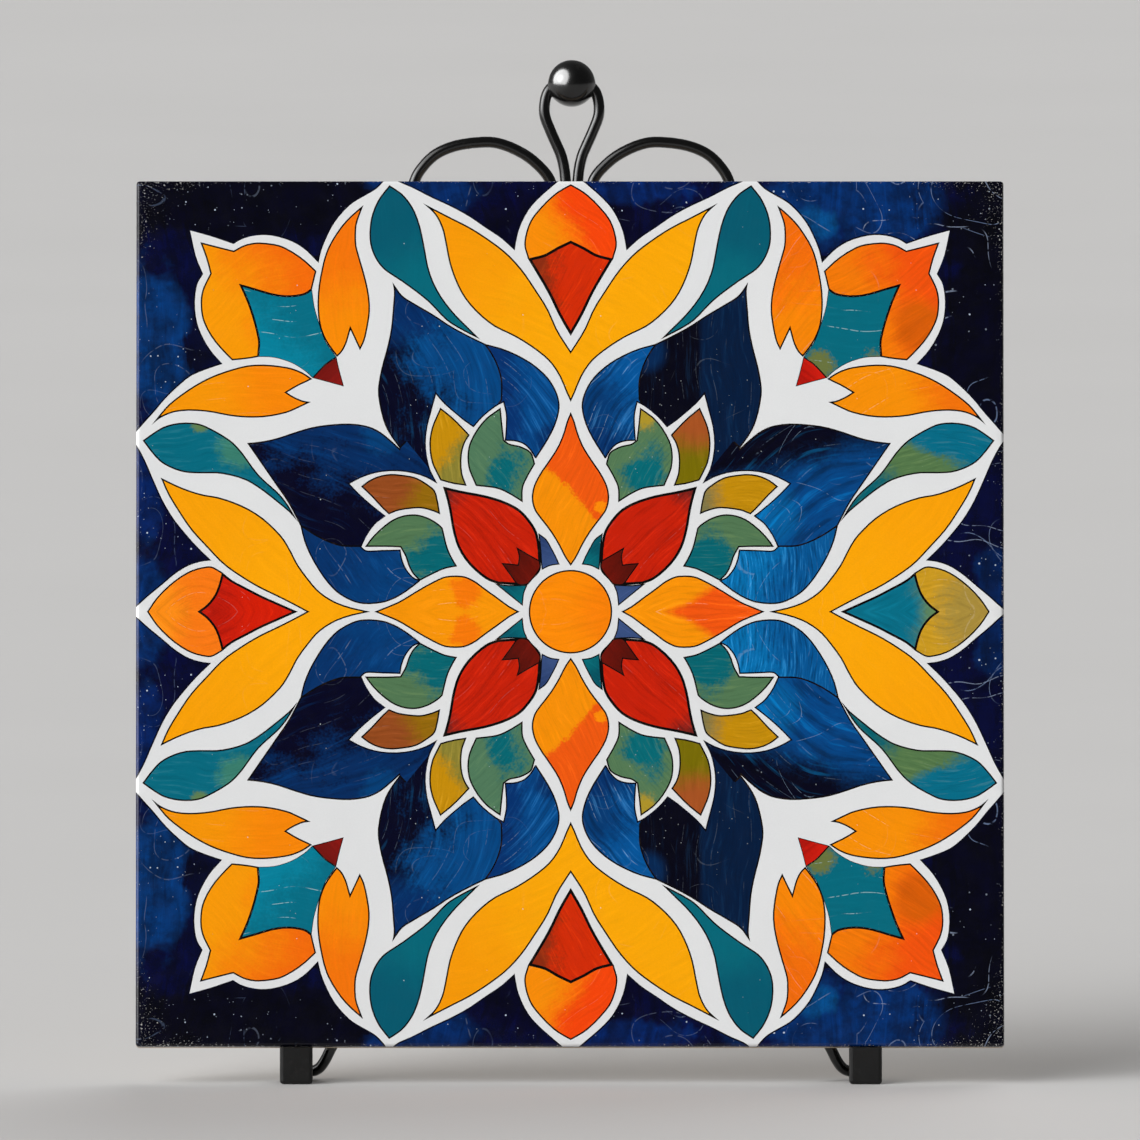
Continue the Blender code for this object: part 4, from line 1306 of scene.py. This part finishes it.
# The fired clay of the sides and back, with painted shade on the groove floors, and the glaze run a little way
# over the edge
def makeBisque():
    material, tree, shader, place = newMaterial("bareBisque", roughness=0.85)
    plane = use(tree, tilePlane, Object=place, Folded=0.0)
    behind = partsOf(tree, plane["Tile"])[2]
    grain = use(tree, fineGrain, Plane=plane["Tile"], Scale=1.6, Depth=0.3)
    blotch = noiseAt(tree, plane["Tile"], 0.11, 5.0, 0.65)
    clay = mixed(tree, ramped(tree, blotch, 0.30, 0.75), paint(*bisque["clay"]), paint(*bisque["blotches"]))
    pits = put(tree, "ShaderNodeTexVoronoi", {"Vector": plane["Tile"], "Scale": 0.9}).outputs["Distance"]
    clay = mixed(tree, ramped(tree, pits, 0.16, 0.05, 0.0, 0.6), clay, paint(*bisque["pits"]))
    x, y, _ = partsOf(tree, vectorCalc(tree, "ABSOLUTE", plane["Tile"]))
    amid = calc(tree, "LESS_THAN", calc(tree, "MAXIMUM", x, y), bisque["grooveReach"])
    back = tile["thick"] * 1000
    floor = back - tile["grooveDepth"] * 1000
    # Painted shade: the groove floors darkened
    grooveShade = times(tree, ramped(tree, behind, back - 0.03, floor + 0.05, 0.0, 0.6), amid)
    clay = scaled(tree, mixed(tree, grooveShade, clay, paint(*bisque["grooves"])), grain["Shade"])
    runs = times(tree, noiseAt(tree, plane["Tile"], 0.35, 2.0), bisque["runMore"])
    past = calc(tree, "SUBTRACT", calc(tree, "ADD", runs, bisque["runLeast"]), behind)
    glazed = ramped(tree, past, -0.1, 0.15)
    feed(tree, shader.inputs["Base Color"], mixed(tree, glazed, clay, paint(*bisque["glazeRun"])))
    feed(tree, shader.inputs["Roughness"], calc(tree, "MULTIPLY_ADD", glazed, -0.62, 0.85))
    roughen(tree, shader, calc(tree, "MULTIPLY_ADD", glazed, 0.6, grain["Height"]), 0.5)
    return material


# Baked black enamel on wire: deep gloss, a slight peel, and dust in places
def makeEnamel():
    material, tree, shader, place = newMaterial("blackEnamel", specular=0.2, coat=1.0)
    shader.inputs["Coat Roughness"].default_value = 0.2
    shader.inputs["Coat IOR"].default_value = 1.42
    millimetres = scaled(tree, place, 1000.0)
    grain = use(tree, fineGrain, Plane=millimetres, Scale=1.4, Depth=0.3)
    dust = ramped(tree, noiseAt(tree, millimetres, 0.35, 5.0, 0.7), 0.58, 0.82)
    feed(
        tree, shader.inputs["Base Color"],
        mixed(tree, times(tree, dust, 0.2), paint(8, 8, 8), paint(60, 57, 54)),
    )
    gloss = calc(tree, "ADD", grain["Gloss"], 0.22)
    feed(tree, shader.inputs["Roughness"], calc(tree, "MULTIPLY_ADD", dust, 0.2, gloss))
    roughen(tree, shader, grain["Height"], 0.10)
    return material


# Moulded feet: fine matt grain, paler in scattered patches
def makeRubber():
    material, tree, shader, place = newMaterial("mouldedRubber", specular=0.4)
    millimetres = scaled(tree, place, 1000.0)
    grain = use(tree, fineGrain, Plane=millimetres, Scale=3.0, Depth=0.5)
    paleTone = times(tree, ramped(tree, noiseAt(tree, millimetres, 0.8, 4.0, 0.7), 0.55, 0.75), 0.5)
    feed(tree, shader.inputs["Base Color"], mixed(tree, paleTone, paint(10, 9, 9), paint(34, 32, 31)))
    feed(tree, shader.inputs["Roughness"], calc(tree, "ADD", grain["Gloss"], 0.46))
    roughen(tree, shader, grain["Height"], 0.35)
    return material


finishes = {
    "ground": makeGroundGlaze(),
    "white": makeWhiteGlaze(),
    "ink": makeInkLine("inkLine", (14, 12, 12), (46, 34, 26)),
    "shade": makeInkLine("strapShade", (8, 9, 22), (14, 22, 52)),
    "painted": makePaintedGlaze(),
    "body": makeBisque(),
}
enamel = makeEnamel()
rubber = makeRubber()
print("finishes made")

glazedTile = makeTile(finishes)
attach(glazedTile, "root")
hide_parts("ceramic_tile")
print("tile made")


# The easel, in metres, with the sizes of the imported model
easel = {
    "wireRadius": 0.0013,
    "gap": 0.0003,
    "wireSides": 24,
    "ballRadius": 0.0055,
    "ballRise": 0.0237,
    "loopHalfWidth": 0.0064,
    "headShift": 0.0004,
    "scrollReach": 0.0382,
    "scrollRise": 0.0098,
    "scrollDrop": 0.072,
    "scrollTail": 0.013,
    "feetShift": 0.00255,
    "footSpread": 0.0666,
    "footDepth": 0.0078,
    "footNose": 0.0006,
    "legFlare": 2.45,
    "legInset": 0.0080,
    "hookBend": 0.0036,
    "hookHeight": 0.0022,
    "boreDepth": 0.0030,
    "propTopDrop": 0.020,
    "propWeld": 0.012,
    "propHalfWidth": 0.011,
    "standDepth": 0.0989,
    "wireTurn": math.radians(4.0),  # rings of a wire: the bend between two of them
    "wireStep": 0.005,  # and their distance at most
}

stemHalf = easel["wireRadius"] + easel["gap"] / 2
wireBehind = tile["thick"] + easel["gap"] + easel["wireRadius"]
propBehind = wireBehind + 2 * easel["wireRadius"] + easel["gap"]
beside = 2 * easel["wireRadius"] + easel["gap"]
side = tile["side"]


# The easel's middle line: at the feet and at the head it misses the tile's by a little
def middleAt(up):
    share = min(max(up / side, 0.0), 1.0)
    return easel["feetShift"] + (easel["headShift"] - easel["feetShift"]) * share


# Distance of a leg from the easel's middle line, behind the tile
def legX(up):
    share = min(max(1.0 - up / side, 0.0), 1.0)
    footX = easel["footSpread"] - easel["legInset"]
    return stemHalf + (footX - stemHalf) * share ** easel["legFlare"]


def legSlope(up):
    step = side * 0.001
    return (legX(up - step) - legX(up + step)) / (2 * step)


# From inside the ball, round the loop and down the neck and leg, into the foot
def legKnots(hand):
    ballUp = side + easel["ballRise"]
    knots = []
    for across, down in ((0.48, -0.02), (0.87, 0.085), (1.00, 0.29), (0.72, 0.51), (0.37, 0.73)):
        up = ballUp - down * easel["ballRise"]
        knots.append(onLean(middleAt(up) + hand * across * easel["loopHalfWidth"], up, wireBehind))
    knots.append(onLean(middleAt(side) + hand * stemHalf, side + 0.05 * easel["ballRise"], wireBehind))
    for share in (0.97, 0.88, 0.76, 0.64, 0.52, 0.40, 0.28, 0.16, 0.07, 0.003):
        up = side * share
        knots.append(onLean(middleAt(up) + hand * legX(up), up, wireBehind))
    # Outwards behind the foot, then round a bend and forwards into its bore
    bend = easel["hookBend"]
    inset = easel["legInset"]
    mouthX = easel["feetShift"] + hand * easel["footSpread"]
    mouthY = tile["toeY"] - easel["footNose"] + easel["footDepth"]
    hook = [
        (inset * 0.84, bend * 0.42, tile["lift"] * 0.530),
        (inset * 0.675, bend * 0.70, tile["lift"] * 0.315),
        (inset * 0.51, bend * 0.93, tile["lift"] * 0.225),
    ]
    for degrees in (15, 50, 90):
        angle = math.radians(degrees)
        height = easel["hookHeight"] * (0.84 + 0.16 * degrees / 90)
        hook.append((bend * (1.0 - math.sin(angle)), bend * math.cos(angle), height))
    for inward, back, height in hook:
        knots.append(Vector((mouthX - hand * inward, mouthY + back, height)))
    knots.append(Vector((mouthX, mouthY - easel["boreDepth"], easel["hookHeight"])))
    return knots


# Up beside the neck, over in an arch, and back down to lie against the leg
def scrollKnots(hand):
    startX = stemHalf + beside
    span = easel["scrollReach"] - startX
    arch = (
        (0.020, 0.07), (0.125, 0.52), (0.250, 0.81), (0.395, 0.99), (0.525, 1.00),
        (0.695, 0.90), (0.815, 0.71), (0.900, 0.43), (0.955, 0.12),
    )
    fall = ((1.00, 0.08), (0.985, 0.24), (0.86, 0.42), (0.62, 0.59), (0.34, 0.74))
    route = []
    for drop in (1.0, 0.5):
        route.append((legX(side - drop * easel["scrollTail"]) + beside, -drop * easel["scrollTail"]))
    route += [(startX + across * span, rise * easel["scrollRise"]) for across, rise in arch]
    route += [(startX + across * span, -drop * easel["scrollDrop"]) for across, drop in fall]
    for drop in (1.0, 1.0 + easel["wireRadius"] * 4 / easel["scrollDrop"]):
        up = side - drop * easel["scrollDrop"]
        route.append((legX(up) + beside * math.hypot(1.0, legSlope(up)), up - side))
    return [onLean(middleAt(side + rise) + hand * x, side + rise, wireBehind) for x, rise in route]


# One hairpin: welded end, down to the ground, round, and up to the other welded end
def propKnots():
    weldUp = side - easel["propTopDrop"]
    bendUp = weldUp - easel["propWeld"]
    wide = easel["propHalfWidth"]
    foot = Vector((middleAt(bendUp), easel["standDepth"] / 2 - easel["wireRadius"], easel["wireRadius"]))
    half = [onLean(middleAt(up) + stemHalf, up, propBehind) for up in (weldUp, (weldUp + bendUp) / 2, bendUp)]
    start = half[-1]
    for share, spread in ((0.10, 0.05), (0.30, 0.26), (0.52, 0.52), (0.74, 0.78)):
        point = start.lerp(foot, share)
        point.x = foot.x + stemHalf + (wide - stemHalf) * spread
        half.append(point)
    along = (start - foot).normalized()
    for degrees in (0, 30, 60):
        angle = math.radians(degrees)
        point = foot + along * wide * (1.0 - math.sin(angle))
        point.x = foot.x + wide * math.cos(angle)
        half.append(point)
    other = [Vector((2 * foot.x - point.x, point.y, point.z)) for point in half]
    return [*half, foot, *reversed(other)]


# A round wire along a curve
def makeWireTree():
    tree, given, result = newGroup(
        "bentWire",
        [
            ("Route", "Geometry", None), ("Radius", "Float", easel["wireRadius"]),
            ("Sides", "Int", easel["wireSides"]), ("Finish", "Material", None),
        ],
        [("Wire", "Geometry")],
        "GeometryNodeTree",
    )
    tree.is_modifier = True
    ring = put(tree, "GeometryNodeCurvePrimitiveCircle", {
        "Resolution": given["Sides"], "Radius": given["Radius"],
    })
    swept = put(tree, "GeometryNodeCurveToMesh", {
        "Curve": given["Route"], "Profile Curve": ring.outputs["Curve"], "Fill Caps": True,
    })
    real = put(tree, "GeometryNodeRealizeInstances", {"Geometry": swept.outputs["Mesh"]})
    painted = put(tree, "GeometryNodeSetMaterial", {"Geometry": real.outputs[0], "Material": given["Finish"]})
    feed(tree, result["Wire"], painted.outputs[0])
    return tree


wireTree = makeWireTree()


# The route with a few close points at each end, and the share of the radius at each point
def roundedEnds(points):
    radius = easel["wireRadius"]
    route = [(point, 1.0) for point in points]
    for end, after in ((0, 1), (-1, -2)):
        tip, toward = points[end], (points[after] - points[end]).normalized()
        cap = []
        for share in (0.02, 0.12, 0.30, 0.60, 1.0):
            cap.append((tip + toward * radius * share, math.sqrt(1 - (1 - share) ** 2)))
        if end == 0:
            route = cap + route[1:]
        else:
            route = route[:-1] + cap[::-1]
    return route


def makeWire(name, node, knots):
    route = roundedEnds(spacedPoints(knots, easel["wireTurn"], easel["wireStep"]))
    curve = bpy.data.curves.new(name, "CURVE")
    curve.dimensions = "3D"
    spline = curve.splines.new("POLY")
    spline.points.add(len(route) - 1)
    for target, (point, share) in zip(spline.points, route):
        target.co = (*point, 1.0)
        target.radius = share
    source = addObject(name + "_route", curve)
    sweep = source.modifiers.new("bentWire", "NODES")
    sweep.node_group = wireTree
    for socket in wireTree.interface.items_tree:
        if socket.name == "Finish":
            sweep[socket.identifier] = enamel
        elif socket.name == "Radius":
            sweep[socket.identifier] = easel["wireRadius"]
        elif socket.name == "Sides":
            sweep[socket.identifier] = easel["wireSides"]
    bpy.context.view_layer.update()
    made = source.evaluated_get(bpy.context.evaluated_depsgraph_get())
    mesh = bpy.data.meshes.new_from_object(made)
    bpy.data.objects.remove(source, do_unlink=True)
    mesh.name = name
    mesh.shade_smooth()
    item = addObject(name, mesh)
    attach(item, "root")
    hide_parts(node)
    return item


for hand, word in ((-1, "left"), (1, "right")):
    makeWire("leg_wire_" + word, "easel_leg_" + word, legKnots(hand))
    makeWire("scroll_wire_" + word, "easel_scroll_" + word, scrollKnots(hand))
    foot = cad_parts["easel_foot_" + word]
    for materialSlot in foot.material_slots:
        materialSlot.material = rubber
makeWire("back_leg_wire", "easel_back_leg", propKnots())
print("wires made")


# Weld beads: sizes in metres, places as shares of the joint that they lie on
welds = {
    "length": 0.0016,
    "width": 0.00085,
    "lumpy": 0.12,
    "lumpScale": 1.7,
    "stemDrops": (0.006, 0.0015),  # below the tile's top edge, in metres
    "scrollShares": (0.2, 0.55, 0.9),
    "propShares": (0.15, 0.5, 0.85),
}


# A small uneven lump of weld
def addBead(shell, middle, along, length, width, seed):
    made = bmesh.ops.create_icosphere(shell, subdivisions=3, radius=1.0)["verts"]
    turn = along.to_track_quat("Z", "Y").to_matrix()
    for vert in made:
        lump = 1.0 + welds["lumpy"] * wobble.noise(vert.co * welds["lumpScale"] + Vector((seed, 0.0, 0.0)))
        shape = Vector((vert.co.x * width, vert.co.y * width, vert.co.z * length)) * lump
        vert.co = middle + turn @ shape


def finishPiece(name, shell):
    bmesh.ops.recalc_face_normals(shell, faces=shell.faces)
    mesh = bpy.data.meshes.new(name)
    shell.to_mesh(mesh)
    shell.free()
    mesh.materials.append(enamel)
    mesh.shade_smooth()
    item = addObject(name, mesh)
    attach(item, "root")
    return item


def makeWelds():
    shell = bmesh.new()
    alongTile = (onLean(0, 1, 0) - onLean(0, 0, 0)).normalized()
    seed = 0.0
    spots = []
    for drop in welds["stemDrops"]:
        up = side - drop
        spots.append((onLean(middleAt(up), up, wireBehind), alongTile))
    for hand in (-1, 1):
        for drop in welds["scrollShares"]:
            up = side - drop * easel["scrollTail"]
            x = middleAt(up) + hand * (legX(up) + beside / 2)
            spots.append((onLean(x, up, wireBehind), alongTile))
        up = side - easel["scrollDrop"] - easel["wireRadius"] * 1.5
        lean = Vector((-hand * legSlope(up), 0.0, 0.0)) + alongTile
        x = middleAt(up) + hand * (legX(up) + beside / 2 * math.hypot(1.0, legSlope(up)))
        spots.append((onLean(x, up, wireBehind), lean.normalized()))
        for drop in welds["propShares"]:
            up = side - easel["propTopDrop"] - drop * easel["propWeld"]
            x = middleAt(up) + hand * (stemHalf + legX(up)) / 2
            spots.append((onLean(x, up, (wireBehind + propBehind) / 2), alongTile))
    for middle, along in spots:
        seed += 3.7
        addBead(shell, middle, along, welds["length"], welds["width"], seed)
    return finishPiece("weld_beads", shell)


collar = {"width": 1.25, "height": 0.30}  # in wire radii


# The ball, with a low collar where each wire of the loop enters it
def makeBall():
    ballUp = side + easel["ballRise"]
    middle = onLean(middleAt(ballUp), ballUp, wireBehind)
    shell = bmesh.new()
    bmesh.ops.create_icosphere(shell, subdivisions=5, radius=easel["ballRadius"])
    collars = []
    for hand in (-1, 1):
        route = throughKnots(legKnots(hand)[:4], 60)
        entry = min(route, key=lambda point: abs((point - middle).length - easel["ballRadius"]))
        collars.append((entry - middle).normalized())
    for vert in shell.verts:
        for way in collars:
            off = vert.co.normalized().angle(way) * easel["ballRadius"]
            rise = math.exp(-((off / (easel["wireRadius"] * collar["width"])) ** 2))
            vert.co += vert.co.normalized() * rise * easel["wireRadius"] * collar["height"]
    bmesh.ops.translate(shell, vec=middle, verts=shell.verts)
    item = finishPiece("ball_finial", shell)
    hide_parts("easel_ball")
    return item


makeWelds()
ball = makeBall()
print("easel made")


# Floor, light and camera

def makeFloor():
    mesh = bpy.data.meshes.new("studio_floor")
    far = 30.0
    mesh.from_pydata([(-far, -far, 0), (far, -far, 0), (far, far, 0), (-far, far, 0)], [], [(0, 1, 2, 3)])
    material, tree, shader, place = newMaterial("studioFloor", roughness=0.9, specular=0.0)
    soft = noiseAt(tree, place, 6.0, 3.0)
    feed(tree, shader.inputs["Base Color"], mixed(tree, soft, paint(186, 185, 184), paint(182, 181, 180)))
    mesh.materials.append(material)
    floor = addObject("studio_floor", mesh)


fromLeft = (-0.824, -0.391, 0.412)
lights = [
    # name, direction that it comes from, strength, width in degrees
    ("keyLight", fromLeft, 3.7, 76.0),
    ("keyCore", fromLeft, 1.9, 34.0),
    ("backLight", (0.42, 0.75, 0.52), 1.9, 60.0),
    ("glint", fromLeft, 17.0, 84.0),
]


def makeLights():
    ballOnly = bpy.data.collections.new("ballOnly")
    ballOnly.objects.link(ball)
    for name, way, strength, width in lights:
        lamp = bpy.data.lights.new(name, "SUN")
        lamp.energy = strength
        lamp.angle = math.radians(width)
        item = addObject(name, lamp)
        item.rotation_euler = Vector(way).to_track_quat("Z", "Y").to_euler()
        if name == "backLight":
            item.visible_glossy = False
        if name == "glint":  # a wide soft window that shows in the ball's gloss alone
            item.visible_diffuse = False
            item.light_linking.receiver_collection = ballOnly
            item.light_linking.blocker_collection = ballOnly
    world = bpy.data.worlds.new("studio")
    world.use_nodes = True
    backdrop = world.node_tree.nodes["Background"]
    backdrop.inputs["Color"].default_value = (0.11, 0.11, 0.11, 1.0)
    backdrop.inputs["Strength"].default_value = 1.0
    scene.world = world


view = {
    "distance": 8.0,
    "elevation": math.radians(5.5),
    "frameWidth": 0.2669,  # width of the picture at the tile
    "aimAbove": 0.01014,  # the picture's middle, above the tile's
    "sensor": 36.0,
}


def makeCamera():
    rise = view["elevation"]
    back = Vector((0.0, -math.cos(rise), math.sin(rise)))
    above = Vector((0.0, math.sin(rise), math.cos(rise)))
    aim = onLean(0.0, side / 2, 0.0) + above * view["aimAbove"]
    lens = bpy.data.cameras.new("camera")
    lens.sensor_width = view["sensor"]
    lens.lens = view["sensor"] * view["distance"] / view["frameWidth"]
    lens.clip_end = 100.0
    camera = addObject("camera", lens)
    camera.location = aim + back * view["distance"]
    camera.rotation_euler = (-back).to_track_quat("-Z", "Y").to_euler()
    scene.camera = camera


makeFloor()
makeLights()
makeCamera()
print("stage made")
